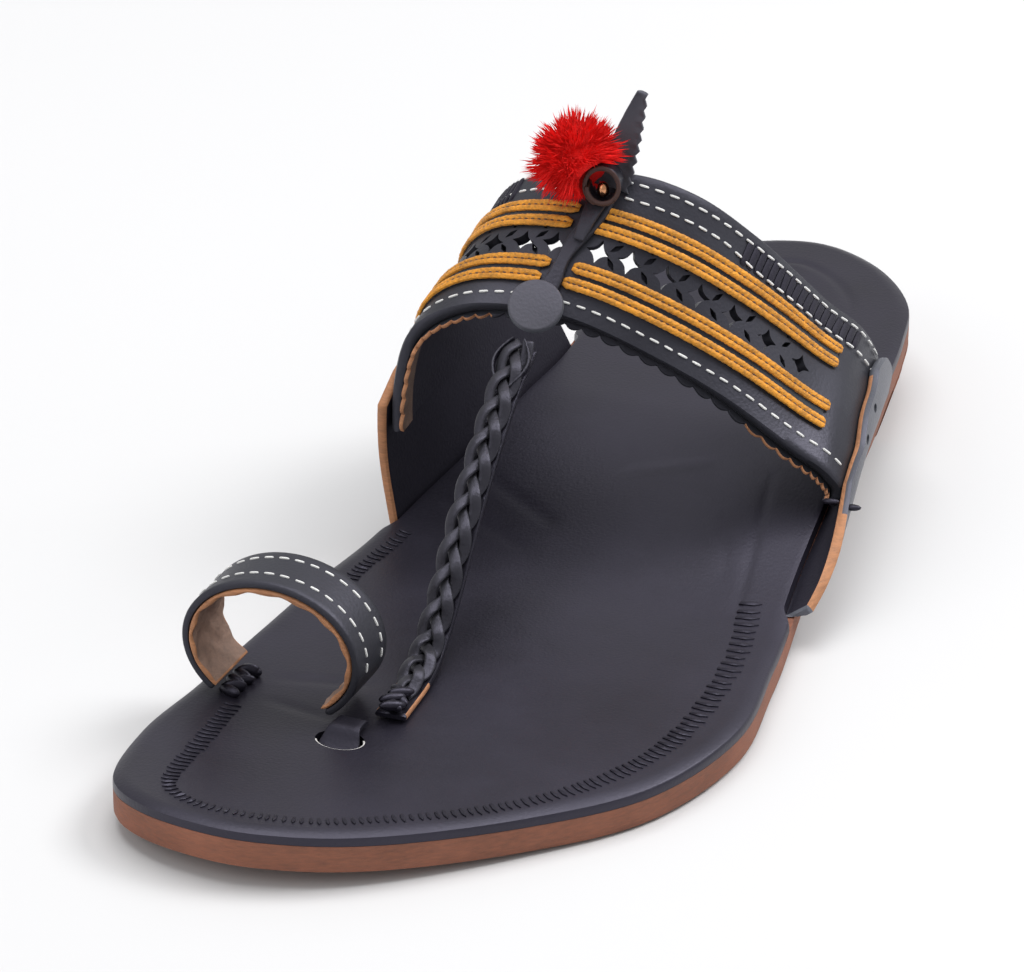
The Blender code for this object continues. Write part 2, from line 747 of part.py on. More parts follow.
def build_ring_lacing(leather):
    """The thong that laces the ring's inner foot down, as one strip with its turns raised."""
    steps = RING_LACING_RIBS * 6
    outer, inner = [], []
    for step in range(steps + 1):
        along = RING_LACING_PLACE[1] + (step / steps - 0.5) * RING_LACING_LENGTH
        rib = 0.55 + 0.45 * abs(math.sin(math.pi * step / steps * RING_LACING_RIBS))
        floor = insole_top(along) + FIT_GAP
        for grid, high in ((outer, RING_LACING_HEIGHT * rib), (inner, 0.0)):
            grid.append([(RING_LACING_PLACE[0] + reach * RING_LACING_WIDTH, along,
                          floor + high * (1.0 - 1.6 * reach ** 2)) for reach in (-0.5, -0.25, 0.0, 0.25, 0.5)])
    wall("ring_lacing", outer, inner, leather)


def build_slot_tab(leather):
    """The end of the ring's strap, which goes down into the slot of the insole."""
    outer, inner = [], []
    for along, high in smooth_path(TAB_PATH, 12):
        floor = outsole_top(along) + high
        for grid, lift in ((outer, TAB_THICKNESS), (inner, 0.0)):
            grid.append([(SLOT_PLACE[0] + reach * TAB_WIDTH, along, floor + lift) for reach in (-0.5, 0.5)])
    wall("slot_tab", outer, inner, leather)


def path_frames(points, count):
    """Places on a smooth path with the way on, the way across and the way up at each."""
    places = smooth_path(points, count)
    frames = []
    for index, place in enumerate(places):
        before = places[max(index - 1, 0)]
        after = places[min(index + 1, count)]
        on = Vector(after - before).normalized()
        across = on.cross(Vector((0, 0, 1))).normalized()
        frames.append((Vector(place), on, across, across.cross(on)))
    return frames


def build_braid(leather):
    """The braid as one wall with its crossing strands raised, over a flat backing strap."""
    length = float(np.sum(np.linalg.norm(np.diff(smooth_path(BRAID_PATH, 60), axis=0), axis=1)))
    steps = int(round(length / BRAID_PITCH)) * 6
    lanes = (-1.0, -0.6, -0.2, 0.2, 0.6, 1.0)
    outer, inner = [], []
    for index, (place, on, across, up) in enumerate(path_frames(BRAID_PATH, steps)):
        row_top, row_low = [], []
        for lane in lanes:
            phase = index / 6 + (0.5 if lane > 0 else 0.0) - abs(lane) * 0.55
            bump = math.sin(math.pi * (phase - math.floor(phase)))
            height = BRAID_THICKNESS * (0.45 + 0.55 * bump) * (1.0 - 0.35 * abs(lane))
            row_top.append(place + across * lane * BRAID_WIDTH / 2 + up * (FIT_GAP + height))
            row_low.append(place + across * lane * BRAID_WIDTH / 2 + up * FIT_GAP)
        outer.append(row_top)
        inner.append(row_low)
    wall("braid", outer, inner, leather)
    outer, inner = [], []
    for place, on, across, up in path_frames(BRAID_PATH, 24):
        outer.append([place + across * lane * BACKING_WIDTH / 2 for lane in (-1, 1)])
        inner.append([place + across * lane * BACKING_WIDTH / 2 - up * BACKING_THICKNESS for lane in (-1, 1)])
    wall("braid_backing", outer, inner, leather)


def clear_scene():
    for piece in list(bpy.data.objects):
        bpy.data.objects.remove(piece, do_unlink=True)


def main():
    clear_scene()
    brown = new_material("sole_leather", (0.37, 0.13, 0.07), 0.6)
    black = new_material("black_leather", (0.03, 0.03, 0.04), 0.42)
    leather = new_material("thong_leather", (0.05, 0.05, 0.06), 0.5)
    gold = new_material("gold_cord", (0.75, 0.36, 0.03), 0.55)
    brass = new_material("brass", (0.75, 0.40, 0.18), 0.25, 1.0)
    red = new_material("red_thread", (0.75, 0.01, 0.01), 0.8)
    build_sole(brown, black)
    build_ear("lateral", black)
    build_ear("medial", black)
    build_band(black, gold)
    build_ornament(leather, brass, red)
    build_toe_ring(black)
    build_ring_lacing(leather)
    build_slot_tab(leather)
    build_braid(leather)


if __name__ == "__main__":
    main()
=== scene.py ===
"""Looks of the left kolhapuri sandal: leather, stitching, cords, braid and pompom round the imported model."""
import math
import random

import bmesh
import bpy
import numpy as np
from mathutils import Matrix, Vector


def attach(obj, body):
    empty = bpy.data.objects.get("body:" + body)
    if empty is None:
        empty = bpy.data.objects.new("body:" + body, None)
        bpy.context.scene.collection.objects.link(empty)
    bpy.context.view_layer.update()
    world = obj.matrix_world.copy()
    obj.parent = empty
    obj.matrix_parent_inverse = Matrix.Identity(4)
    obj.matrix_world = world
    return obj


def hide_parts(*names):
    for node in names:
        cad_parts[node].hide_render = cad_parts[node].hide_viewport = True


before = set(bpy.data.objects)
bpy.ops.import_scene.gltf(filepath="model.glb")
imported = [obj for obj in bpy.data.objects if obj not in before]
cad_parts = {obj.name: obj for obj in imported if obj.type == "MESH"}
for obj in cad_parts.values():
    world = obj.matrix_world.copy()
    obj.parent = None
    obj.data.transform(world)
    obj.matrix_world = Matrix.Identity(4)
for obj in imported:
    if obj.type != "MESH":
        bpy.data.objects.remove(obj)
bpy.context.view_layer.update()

bl_info = {
    "name": "Toe-Ring Sandal",
    "version": (1, 0, 0),
    "blender": (4, 5, 0),
    "location": "View3D > Sidebar > Sandal",
    "description": "Builds the leather sandal piece by piece",
    "category": "Add Mesh",
}

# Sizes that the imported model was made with, in metres
SOLE_LENGTH = 0.277
BALL_WIDTH = 0.110
OUTSOLE_THICKNESS = 0.0058
WAIST_THICKNESS = 0.0048
INSOLE_THICKNESS = 0.0026
HEEL_RISE = 0.0125
HEEL_LENGTH = 0.050
HEEL_TAPER = 0.0040
TOE_SPRING = 0.0045
TOE_SPRING_LENGTH = 0.060
FIT_GAP = 0.0003
INSTEP_RISE = 0.066
BAND_THICKNESS = 0.0026
EAR_THICKNESS = 0.0022
EAR_LEVEL_STEP = 0.0003
BAND_START = 0.105
BAND_END = 0.955
THONG_SHARES = (0.442, 0.477)
CUTOUT_LINE = 0.480
CUTOUT_STEPS = (0.250, 0.295, 0.340, 0.385, 0.428, 0.489, 0.528, 0.570, 0.612, 0.654, 0.696, 0.738)
LACING_LINE = 0.905
LACING_RUNS = (("medial", 0.205, 0.335), ("lateral", 0.680, 0.830))
CORD_ROWS = (
    ("front_lower", 0.225, 0.200, 0.809),
    ("front_upper", 0.335, 0.200, 0.809),
    ("rear_lower", 0.625, 0.205, 0.798),
    ("rear_upper", 0.735, 0.205, 0.798),
)
CORD_TO_THONG = 0.0165
CURL_CROSS = 0.880
CURL_FACING = (0.30, -1.0, 0.25)
LEAF_LEAN = (0.24, 0.10, 1.0)
POMPOM_SHIFT = (-0.0062, 0.0, 0.0050)
SLOT_PLACE = (-0.0165, -0.0932)
RING_PLACE = (-0.0350, -0.0805)
RING_HALF_WIDTH = 0.0200
RING_HEIGHT = 0.0280
RING_STRAP = 0.0145
RING_THICKNESS = 0.0030
RING_ROUND_SHARE = 0.56
RING_SKEW = 0.0015
RING_FEET_ANGLES = (228, -48)

SOLE_ROWS = (
    (0.010, -0.362, -0.085),
    (0.037, -0.450, 0.044),
    (0.120, -0.496, 0.272),
    (0.200, -0.484, 0.430),
    (0.300, -0.466, 0.496),
    (0.400, -0.446, 0.464),
    (0.500, -0.405, 0.422),
    (0.600, -0.345, 0.397),
    (0.700, -0.322, 0.366),
    (0.800, -0.335, 0.320),
)
TOE_TIP_ACROSS = -0.200
HEEL_CENTRE_ACROSS = -0.022
HEEL_CENTRE_ALONG = 0.860
HEEL_HALF_WIDTH = 0.313
HEEL_ARC_ANGLES = (0, 30, 60, 90, 120, 150, 180)
HEEL_ARC_POWER = 1.15
RISE_START = -0.075
RISE_END = 0.172

# The upper's rows: along, across and up at the band's front edge, then at its rear edge
UPPER_ROWS = (
    (-0.013, 0.022, 0.000, 0.227, 0.022, 0.000),
    (-0.014, -0.006, 0.270, 0.206, -0.065, 0.298),
    (-0.013, -0.004, 0.510, 0.177, -0.105, 0.526),
    (-0.008, 0.030, 0.690, 0.152, -0.066, 0.704),
    (0.001, 0.127, 0.778, 0.128, 0.055, 0.875),
    (0.013, 0.254, 0.781, 0.110, 0.242, 0.980),
    (0.025, 0.395, 0.730, 0.106, 0.415, 1.000),
    (0.042, 0.562, 0.600, 0.121, 0.569, 0.915),
    (0.057, 0.734, 0.452, 0.153, 0.704, 0.725),
    (0.070, 0.895, 0.285, 0.204, 0.854, 0.450),
    (0.077, 0.992, 0.194, 0.231, 0.950, 0.314),
    (0.081, 1.030, 0.105, 0.254, 0.992, 0.150),
    (0.079, 0.974, 0.000, 0.262, 0.974, 0.000),
)
EAR_ROWS = {
    "lateral": ((0.0, 0.045), (0.08, 0.071), (0.22, 0.108), (0.36, 0.144), (0.51, 0.150),
                (0.69, 0.195), (0.83, 0.225), (0.93, 0.200), (1.0, 0.060)),
    "medial": ((0.0, 0.440), (0.12, 0.500), (0.35, 0.520), (0.60, 0.530), (0.80, 0.500),
               (0.92, 0.400), (1.0, 0.180)),
}
EAR_SPANS = {"lateral": (-0.58, 1.09), "medial": (-0.03, 1.10)}
BRAID_PATH = (
    (-0.0166, -0.0020, 0.0548),
    (-0.0162, -0.0126, 0.0492),
    (-0.0152, -0.0246, 0.0415),
    (-0.0142, -0.0376, 0.0310),
    (-0.0136, -0.0480, 0.0200),
    (-0.0129, -0.0576, 0.0125),
    (-0.0115, -0.0676, 0.0108),
    (-0.0105, -0.0820, 0.0106),
)


class SandalSizes(bpy.types.PropertyGroup):
    """Sizes of the fine work."""
    stitch_length: bpy.props.FloatProperty(
        name="Stitch", description="Length of one stitch", default=0.0022, unit="LENGTH")
    stitch_gap: bpy.props.FloatProperty(
        name="Stitch gap", description="Gap between two stitches", default=0.0012, unit="LENGTH")
    stitch_width: bpy.props.FloatProperty(
        name="Thread", description="Width of the sewing thread", default=0.00050, unit="LENGTH")
    cord_width: bpy.props.FloatProperty(
        name="Cord width", description="Width of one gold cord", default=0.0028, unit="LENGTH")
    cord_height: bpy.props.FloatProperty(
        name="Cord height", description="Height of one gold cord", default=0.0011, unit="LENGTH")
    strand_width: bpy.props.FloatProperty(
        name="Braid strand", description="Width of one strand of the braid", default=0.0025, unit="LENGTH")
    braid_period: bpy.props.FloatProperty(
        name="Braid period", description="Length in which a strand comes back", default=0.0228, unit="LENGTH")
    pompom_radius: bpy.props.FloatProperty(
        name="Pompom", description="Reach of the pompom's threads", default=0.0104, unit="LENGTH")
    pompom_threads: bpy.props.IntProperty(
        name="Threads", description="How many threads the pompom has", default=3200)
    border_pitch: bpy.props.FloatProperty(
        name="Border pitch", description="Distance between the tooled marks", default=0.00175, unit="LENGTH")


class SandalColours(bpy.types.PropertyGroup):
    """Colours of the finishes."""
    black: bpy.props.FloatVectorProperty(
        name="Black leather", description="Insole and band", subtype="COLOR", default=(0.0095, 0.0085, 0.0135))
    band: bpy.props.FloatVectorProperty(
        name="Band leather", description="Face of the band", subtype="COLOR", default=(0.0180, 0.0190, 0.0220))
    thong: bpy.props.FloatVectorProperty(
        name="Thong leather", description="Braid, disc and leaf", subtype="COLOR", default=(0.0200, 0.0200, 0.0230))
    brown: bpy.props.FloatVectorProperty(
        name="Sole leather", description="Edge of the sole", subtype="COLOR", default=(0.23, 0.085, 0.048))
    tan: bpy.props.FloatVectorProperty(
        name="Cut edge", description="Raw edge of the leather", subtype="COLOR", default=(0.42, 0.19, 0.09))
    suede: bpy.props.FloatVectorProperty(
        name="Suede", description="Flesh side of the leather", subtype="COLOR", default=(0.29, 0.185, 0.140))
    gold: bpy.props.FloatVectorProperty(
        name="Gold cord", description="Twisted cords", subtype="COLOR", default=(0.72, 0.29, 0.014))
    navy: bpy.props.FloatVectorProperty(
        name="Navy ground", description="Cloth under the cords", subtype="COLOR", default=(0.010, 0.017, 0.030))
    thread: bpy.props.FloatVectorProperty(
        name="Thread", description="White sewing thread", subtype="COLOR", default=(0.80, 0.80, 0.79))
    red: bpy.props.FloatVectorProperty(
        name="Pompom red", description="Threads of the pompom", subtype="COLOR", default=(0.86, 0.018, 0.016))
    copper: bpy.props.FloatVectorProperty(
        name="Bead", description="Copper bead", subtype="COLOR", default=(0.72, 0.34, 0.17))


def smooth_step(value):
    value = np.clip(value, 0.0, 1.0)
    return value * value * (3.0 - 2.0 * value)


UPPER = np.asarray(UPPER_ROWS, float)


def smooth_rows(rows, share):
    """Rows at even steps from 0 to 1, read on a smooth curve, and straight on past both ends."""
    if not isinstance(rows, np.ndarray):
        rows = np.array(rows, float)
    last = len(rows) - 1
    place = share * last

    def slope(index):
        if index == 0:
            return rows[1] - rows[0]
        if index == last:
            return rows[last] - rows[last - 1]
        return (rows[index + 1] - rows[index - 1]) / 2
    if place < 0:
        return rows[0] + slope(0) * place
    if place > last:
        return rows[last] + slope(last) * (place - last)
    low = min(int(place), last - 1)
    part = place - low
    square, cube = part ** 2, part ** 3
    return ((2 * cube - 3 * square + 1) * rows[low] + (cube - 2 * square + part) * slope(low)
            + (3 * square - 2 * cube) * rows[low + 1] + (cube - square) * slope(low + 1))


def smooth_path(points, count):
    return np.array([smooth_rows(points, step / count) for step in range(count + 1)])


def closed_outline(points, steps):
    """A smooth closed curve through points that lie at uneven distances."""
    points = np.asarray(points, float)
    total = len(points)
    before, after = np.roll(points, 1, 0), np.roll(points, -1, 0)
    reach_back = np.sqrt(np.linalg.norm(points - before, axis=1))[:, None]
    reach_on = np.sqrt(np.linalg.norm(after - points, axis=1))[:, None]
    slope = ((points - before) / reach_back * reach_on + (after - points) / reach_on * reach_back)
    slope = slope / (reach_back + reach_on)
    curve = []
    for index in range(total):
        nxt = (index + 1) % total
        for step in range(steps):
            part = step / steps
            square, cube = part ** 2, part ** 3
            curve.append((2 * cube - 3 * square + 1) * points[index]
                         + (cube - 2 * square + part) * slope[index] * reach_on[index]
                         + (3 * square - 2 * cube) * points[nxt]
                         + (cube - square) * slope[nxt] * reach_on[index])
    return np.array(curve)


def sole_outline():
    """The sole's outline as one closed curve, and its inner and outer edge from toe to heel."""
    def place(across, share):
        return (across * BALL_WIDTH, (share - 0.5) * SOLE_LENGTH)
    ring = [place(TOE_TIP_ACROSS, 0.0)]
    ring += [place(outer, share) for share, inner, outer in SOLE_ROWS]
    for angle in HEEL_ARC_ANGLES:
        turn = math.radians(angle)
        across = math.copysign(abs(math.cos(turn)) ** HEEL_ARC_POWER, math.cos(turn))
        back = abs(math.sin(turn)) ** HEEL_ARC_POWER
        ring.append(place(HEEL_CENTRE_ACROSS + HEEL_HALF_WIDTH * across,
                          HEEL_CENTRE_ALONG + (1.0 - HEEL_CENTRE_ALONG) * back))
    ring += [place(inner, share) for share, inner, outer in reversed(SOLE_ROWS)]
    curve = closed_outline(ring, 16)
    curve = np.roll(curve, -int(curve[:, 1].argmin()), 0)
    far = int(curve[:, 1].argmax())
    return curve, np.vstack([curve[far:], curve[:1]])[::-1], curve[:far + 1]


OUTLINE, INNER_EDGE, OUTER_EDGE = sole_outline()
TOE_Y = float(INNER_EDGE[0, 1])
HEEL_Y = float(INNER_EDGE[-1, 1])


def sole_edges(along):
    inner = np.interp(along, INNER_EDGE[:, 1], INNER_EDGE[:, 0])
    outer = np.interp(along, OUTER_EDGE[:, 1], OUTER_EDGE[:, 0])
    return float(inner), float(outer)


def sole_lift(along):
    start, end = RISE_START * SOLE_LENGTH, RISE_END * SOLE_LENGTH
    rise = HEEL_RISE * smooth_step((along - start) / (end - start))
    toe = np.clip((TOE_Y + TOE_SPRING_LENGTH - along) / TOE_SPRING_LENGTH, 0.0, 1.0)
    return float(rise + TOE_SPRING * toe ** 2)


def outsole_top(along):
    return sole_lift(along) + OUTSOLE_THICKNESS


def outsole_bottom(along):
    start, end = RISE_START * SOLE_LENGTH, RISE_END * SOLE_LENGTH
    thinner = (OUTSOLE_THICKNESS - WAIST_THICKNESS) * smooth_step((along - start) / (end - start))
    return sole_lift(along) + float(thinner)


def insole_top(along):
    return outsole_top(along) + FIT_GAP + INSOLE_THICKNESS


def upper_place(share, cross):
    """A point of the band's outer face, round the instep by share and across the band by cross."""
    row = smooth_rows(UPPER, share)
    along, across, up = row[:3] + (row[3:] - row[:3]) * cross
    along = along * SOLE_LENGTH
    inner, outer = sole_edges(along)
    return np.array([inner + across * (outer - inner), along, outsole_top(along) + up * INSTEP_RISE])


def upper_normal(share, cross):
    step = 0.004
    run = upper_place(share + step, cross) - upper_place(share - step, cross)
    side = upper_place(share, cross + step) - upper_place(share, cross - step)
    normal = np.cross(run, side)
    return normal / np.linalg.norm(normal)


def upper_point(share, cross, lift):
    return Vector(upper_place(share, cross) + upper_normal(share, cross) * lift)


def share_at_height(side, cross, height):
    shares = np.linspace(0.0, 0.34, 35)
    if side == "lateral":
        shares = 1.0 - shares
    heights = []
    for share in shares:
        row = smooth_rows(UPPER, share)
        heights.append(row[2] + (row[5] - row[2]) * cross)
    return float(np.interp(height, heights, shares))


def cross_width(share, line, width):
    reach = np.linalg.norm(upper_place(share, line + 0.05) - upper_place(share, line - 0.05)) / 0.1
    return width / reach


def thong_share(cross):
    return THONG_SHARES[0] + (THONG_SHARES[1] - THONG_SHARES[0]) * cross


def band_axes(share, cross):
    """Directions on the band at a place: across the foot, up towards the rear edge, outwards."""
    normal = Vector(upper_normal(share, cross))
    rear = Vector(upper_place(share, cross + 0.02) - upper_place(share, cross - 0.02))
    rear = (rear - normal * rear.dot(normal)).normalized()
    return rear.cross(normal).normalized(), rear, normal


# Finishes

class Nodes:
    """A short way to lay out a material's nodes."""

    def __init__(self, name):
        self.material = bpy.data.materials.new(name)
        self.material.use_nodes = True
        self.tree = self.material.node_tree
        self.shader = self.tree.nodes["Principled BSDF"]
        self.coordinates = self.tree.nodes.new("ShaderNodeTexCoord").outputs["Object"]

    def link(self, source, target):
        self.tree.links.new(source, target)

    def mapping(self, scale):
        node = self.tree.nodes.new("ShaderNodeMapping")
        node.inputs["Scale"].default_value = scale
        self.link(self.coordinates, node.inputs["Vector"])
        return node.outputs["Vector"]

    def noise(self, scale, detail=4.0, stretch=None, roughness=0.55):
        node = self.tree.nodes.new("ShaderNodeTexNoise")
        node.inputs["Scale"].default_value = scale
        node.inputs["Detail"].default_value = detail
        node.inputs["Roughness"].default_value = roughness
        self.link(self.mapping(stretch) if stretch else self.coordinates, node.inputs["Vector"])
        return node.outputs["Fac"]

    def cells(self, scale, stretch=None):
        node = self.tree.nodes.new("ShaderNodeTexVoronoi")
        node.inputs["Scale"].default_value = scale
        self.link(self.mapping(stretch) if stretch else self.coordinates, node.inputs["Vector"])
        return node.outputs["Distance"]

    def spread(self, source, low, high, to_low, to_high):
        node = self.tree.nodes.new("ShaderNodeMapRange")
        for socket, value in zip(("From Min", "From Max", "To Min", "To Max"), (low, high, to_low, to_high)):
            node.inputs[socket].default_value = value
        self.link(source, node.inputs["Value"])
        return node.outputs["Result"]

    def blend(self, factor, first, second):
        node = self.tree.nodes.new("ShaderNodeMix")
        node.data_type = "RGBA"
        node.inputs[6].default_value = (*first, 1.0)
        node.inputs[7].default_value = (*second, 1.0)
        self.link(factor, node.inputs["Factor"])
        return node.outputs[2]

    def multiply_add(self, first, second, weight):
        """first + second * weight."""
        node = self.tree.nodes.new("ShaderNodeMath")
        node.operation = "MULTIPLY_ADD"
        self.link(second, node.inputs[0])
        node.inputs[1].default_value = weight
        self.link(first, node.inputs[2])
        return node.outputs["Value"]

    def bump(self, height, distance, strength=1.0):
        node = self.tree.nodes.new("ShaderNodeBump")
        node.inputs["Distance"].default_value = distance
        node.inputs["Strength"].default_value = strength
        self.link(height, node.inputs["Height"])
        self.link(node.outputs["Normal"], self.shader.inputs["Normal"])


def shade(colour, factor):
    return tuple(min(1.0, channel * factor) for channel in colour)


FINISHES = {}


def dressed_leather(name, colour, rough=(0.36, 0.52), grain=0.00012, sheen=0.0, coat=0.0, lift=1.5):
    """Finished leather: fine grain and pores, cloudy gloss, slightly paler where it is rubbed."""
    nodes = Nodes(name)
    cloud = nodes.noise(28.0, 3.0)
    grain_noise = nodes.noise(1500.0, 5.0)
    pores = nodes.cells(1300.0)
    tone = nodes.spread(cloud, 0.32, 0.68, 0.0, 1.0)
    nodes.link(nodes.blend(tone, shade(colour, 0.80), shade(colour, lift)), nodes.shader.inputs["Base Color"])
    nodes.link(nodes.spread(nodes.multiply_add(cloud, grain_noise, 0.35), 0.45, 0.9, *rough),
               nodes.shader.inputs["Roughness"])
    nodes.bump(nodes.multiply_add(grain_noise, pores, 0.6), grain, 0.55)
    nodes.shader.inputs["Sheen Weight"].default_value = sheen
    nodes.shader.inputs["Coat Weight"].default_value = coat
    nodes.shader.inputs["Coat Roughness"].default_value = 0.35
    nodes.shader.inputs["Specular Tint"].default_value = (0.78, 0.75, 1.0, 1.0)
    FINISHES[name] = nodes.material
    return nodes.material


def raw_leather(name, colour, layers=True, bump=0.00025):
    """Cut or flesh-side leather: matt fibres, in layers along the cut where asked."""
    nodes = Nodes(name)
    fibres = nodes.noise(420.0, 6.0, (1.0, 1.0, 5.0) if layers else None, 0.7)
    cloud = nodes.noise(60.0, 3.0, (1.0, 1.0, 2.0))
    tone = nodes.spread(nodes.multiply_add(fibres, cloud, 0.8), 0.6, 1.2, 0.0, 1.0)
    nodes.link(nodes.blend(tone, shade(colour, 0.62), shade(colour, 1.35)), nodes.shader.inputs["Base Color"])
    nodes.link(nodes.spread(fibres, 0.3, 0.7, 0.58, 0.82), nodes.shader.inputs["Roughness"])
    nodes.bump(fibres, bump, 0.8)
    FINISHES[name] = nodes.material
    return nodes.material


def spun_thread(name, colour, dark, scale=2600.0, rough=0.7, sheen=0.3, bump=0.0002):
    """Thread and cord: fine fibres with lit and shaded strands."""
    nodes = Nodes(name)
    fibres = nodes.noise(scale, 3.0, (1.0, 0.5, 1.6), 0.6)
    cloud = nodes.noise(240.0, 2.0)
    tone = nodes.spread(nodes.multiply_add(fibres, cloud, 0.7), 0.55, 1.1, 0.0, 1.0)
    nodes.link(nodes.blend(tone, dark, colour), nodes.shader.inputs["Base Color"])
    nodes.shader.inputs["Roughness"].default_value = rough
    nodes.shader.inputs["Sheen Weight"].default_value = sheen
    nodes.bump(fibres, bump, 0.7)
    FINISHES[name] = nodes.material
    return nodes.material


def polished_metal(name, colour):
    nodes = Nodes(name)
    wear = nodes.noise(900.0, 3.0)
    nodes.link(nodes.blend(nodes.spread(wear, 0.35, 0.7, 0.0, 1.0), shade(colour, 0.75), colour),
               nodes.shader.inputs["Base Color"])
    nodes.link(nodes.spread(wear, 0.3, 0.7, 0.12, 0.3), nodes.shader.inputs["Roughness"])
    nodes.shader.inputs["Metallic"].default_value = 1.0
    FINISHES[name] = nodes.material
    return nodes.material


def make_finishes(colours):
    black, band, thong = tuple(colours.black), tuple(colours.band), tuple(colours.thong)
    dressed_leather("insole_black", black, (0.34, 0.50), 0.00008, coat=0.10)
    dressed_leather("band_black", band, (0.42, 0.58), 0.00010, coat=0.05)
    dressed_leather("ear_grey", shade(band, 4.0), (0.36, 0.5), 0.00010)
    dressed_leather("thong_black", thong, (0.38, 0.56), 0.00012)
    dressed_leather("leaf_slate", shade(thong, 2.6), (0.45, 0.62), 0.00012)
    dressed_leather("curl_edge", (0.060, 0.030, 0.018), (0.5, 0.7), 0.00010)
    dressed_leather("ear_inside", shade(black, 0.7), (0.5, 0.7), 0.00010)
    dressed_leather("lacing_black", shade(black, 0.6), (0.34, 0.5), 0.00010)
    dressed_leather("slot_black", shade(black, 0.5), (0.5, 0.7), 0.00010)
    raw_leather("sole_brown", tuple(colours.brown))
    raw_leather("cut_tan", tuple(colours.tan))
    raw_leather("raw_white", (0.55, 0.53, 0.52), False, 0.0003)
    raw_leather("suede", tuple(colours.suede), False, 0.0007)
    raw_leather("lining_brown", shade(tuple(colours.suede), 0.55), False, 0.0003)
    gold = tuple(colours.gold)
    spun_thread("gold", shade(gold, 1.15), shade(gold, 0.38), 1500.0, 0.62, 0.1)
    spun_thread("gold_shade", (0.10, 0.035, 0.008), (0.05, 0.018, 0.006))
    spun_thread("navy", tuple(colours.navy), shade(tuple(colours.navy), 0.5), 1800.0, 0.8)
    spun_thread("white_thread", tuple(colours.thread), shade(tuple(colours.thread), 0.7), rough=0.6)
    red = spun_thread("red", tuple(colours.red), shade(tuple(colours.red), 0.45), 500.0, 0.85, 0.0)
    shader = red.node_tree.nodes["Principled BSDF"]
    shader.inputs["Specular IOR Level"].default_value = 0.15
    # Faint red emission on the pompom threads: a painted glow that stands in for light shining through the threads.
    shader.inputs["Emission Color"].default_value = (*colours.red, 1.0)
    shader.inputs["Emission Strength"].default_value = 0.07
    polished_metal("copper", tuple(colours.copper))


# Mesh helpers

def add_piece(name, mesh, finishes, nodes=(), sharp=40):
    """Give a bmesh its object, its finishes, the body it rides on and the CAD nodes it stands for."""
    bmesh.ops.recalc_face_normals(mesh, faces=mesh.faces)
    data = bpy.data.meshes.new(name)
    mesh.to_mesh(data)
    mesh.free()
    for finish in finishes:
        data.materials.append(FINISHES[finish])
    data.shade_smooth()
    data.set_sharp_from_angle(angle=math.radians(sharp))
    piece = bpy.data.objects.new(name, data)
    bpy.context.scene.collection.objects.link(piece)
    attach(piece, "root")
    if nodes:
        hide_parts(*nodes)
    return piece


def carve(piece, mesh):
    """Cut a mesh of closed shapes out of a piece, and keep only the result."""
    data = bpy.data.meshes.new("cutter")
    bmesh.ops.recalc_face_normals(mesh, faces=mesh.faces)
    mesh.to_mesh(data)
    mesh.free()
    cutter = bpy.data.objects.new("cutter", data)
    bpy.context.scene.collection.objects.link(cutter)
    boolean = piece.modifiers.new("cut", "BOOLEAN")
    boolean.operation = "DIFFERENCE"
    boolean.solver = "EXACT"
    boolean.object = cutter
    bpy.context.view_layer.objects.active = piece
    with bpy.context.temp_override(object=piece, active_object=piece, selected_objects=[piece]):
        bpy.ops.object.modifier_apply(modifier="cut")
    bpy.data.objects.remove(cutter, do_unlink=True)
    piece.data.set_sharp_from_angle(angle=math.radians(40))


def strap(mesh, stations, profile, place, end_tone=None, retone=None):
    """Wrap a closed profile round a run of stations.

    A station is (share, fullness); a profile entry is (across, lift, tone), lift from 0 to 1 through the
    thickness; place(share, across, lift) gives the point. Fullness 0 draws a ring in to the middle lift,
    which closes the end. retone(share, tone) may give a face another finish by its station.
    """
    columns, turns = len(stations) - 1, len(profile)
    made = bmesh.ops.create_grid(mesh, x_segments=columns, y_segments=turns, size=0.5)
    spots = {}
    for vert in made["verts"]:
        spots[vert] = (round((vert.co.x + 0.5) * columns), round((vert.co.y + 0.5) * turns))
    for face in {face for vert in made["verts"] for face in vert.link_faces}:
        face.material_index = profile[min(spots[vert][1] for vert in face.verts)][2]
        first = min(spots[vert][0] for vert in face.verts)
        full = min(stations[first][1], stations[first + 1][1])
        if retone:
            face.material_index = retone(stations[first][0], face.material_index)
        if end_tone is not None and full < 0.9:
            face.material_index = end_tone
    for vert, (column, turn) in spots.items():
        share, full = stations[column]
        across, lift, tone = profile[turn % turns]
        vert.co = place(share, across, 0.5 + (lift - 0.5) * full)
    bmesh.ops.remove_doubles(mesh, verts=list(spots), dist=1e-6)


def run_stations(steps, length, edge=0.0006):
    """Even stations from 0 to 1 with rounded ends."""
    part = edge / length
    middle = [(part + (1 - 2 * part) * step / steps, 1.0) for step in range(steps + 1)]
    return [(0.0, 0.0), (part * 0.25, 0.66)] + middle + [(1 - part * 0.25, 0.66), (1.0, 0.0)]


def flat_profile(steps, edge, top=0, side=1, under=0):
    """A flat section from across -1 to 1, with rounded edges; edge is the rounding as a share of the half width."""
    reach = 1.0 - edge
    points = [(-reach + 2 * reach * step / steps, 1.0, top) for step in range(steps)]
    points += [(reach, 1.0, side), (1.0 - edge * 0.3, 0.86, side), (1.0, 0.5, side), (1.0 - edge * 0.3, 0.14, side)]
    points += [(reach - 2 * reach * step / steps, 0.0, under) for step in range(steps)]
    points += [(-reach, 0.0, side), (-1.0 + edge * 0.3, 0.14, side), (-1.0, 0.5, side), (-1.0 + edge * 0.3, 0.86, side)]
    return points


def round_profile(count):
    """A round section, as a profile whose lift runs from 0 to 1."""
    turns = [2 * math.pi * (index + 0.5) / count for index in range(count)]
    return [(math.sin(turn), 0.5 + 0.5 * math.cos(turn), 0) for turn in turns]


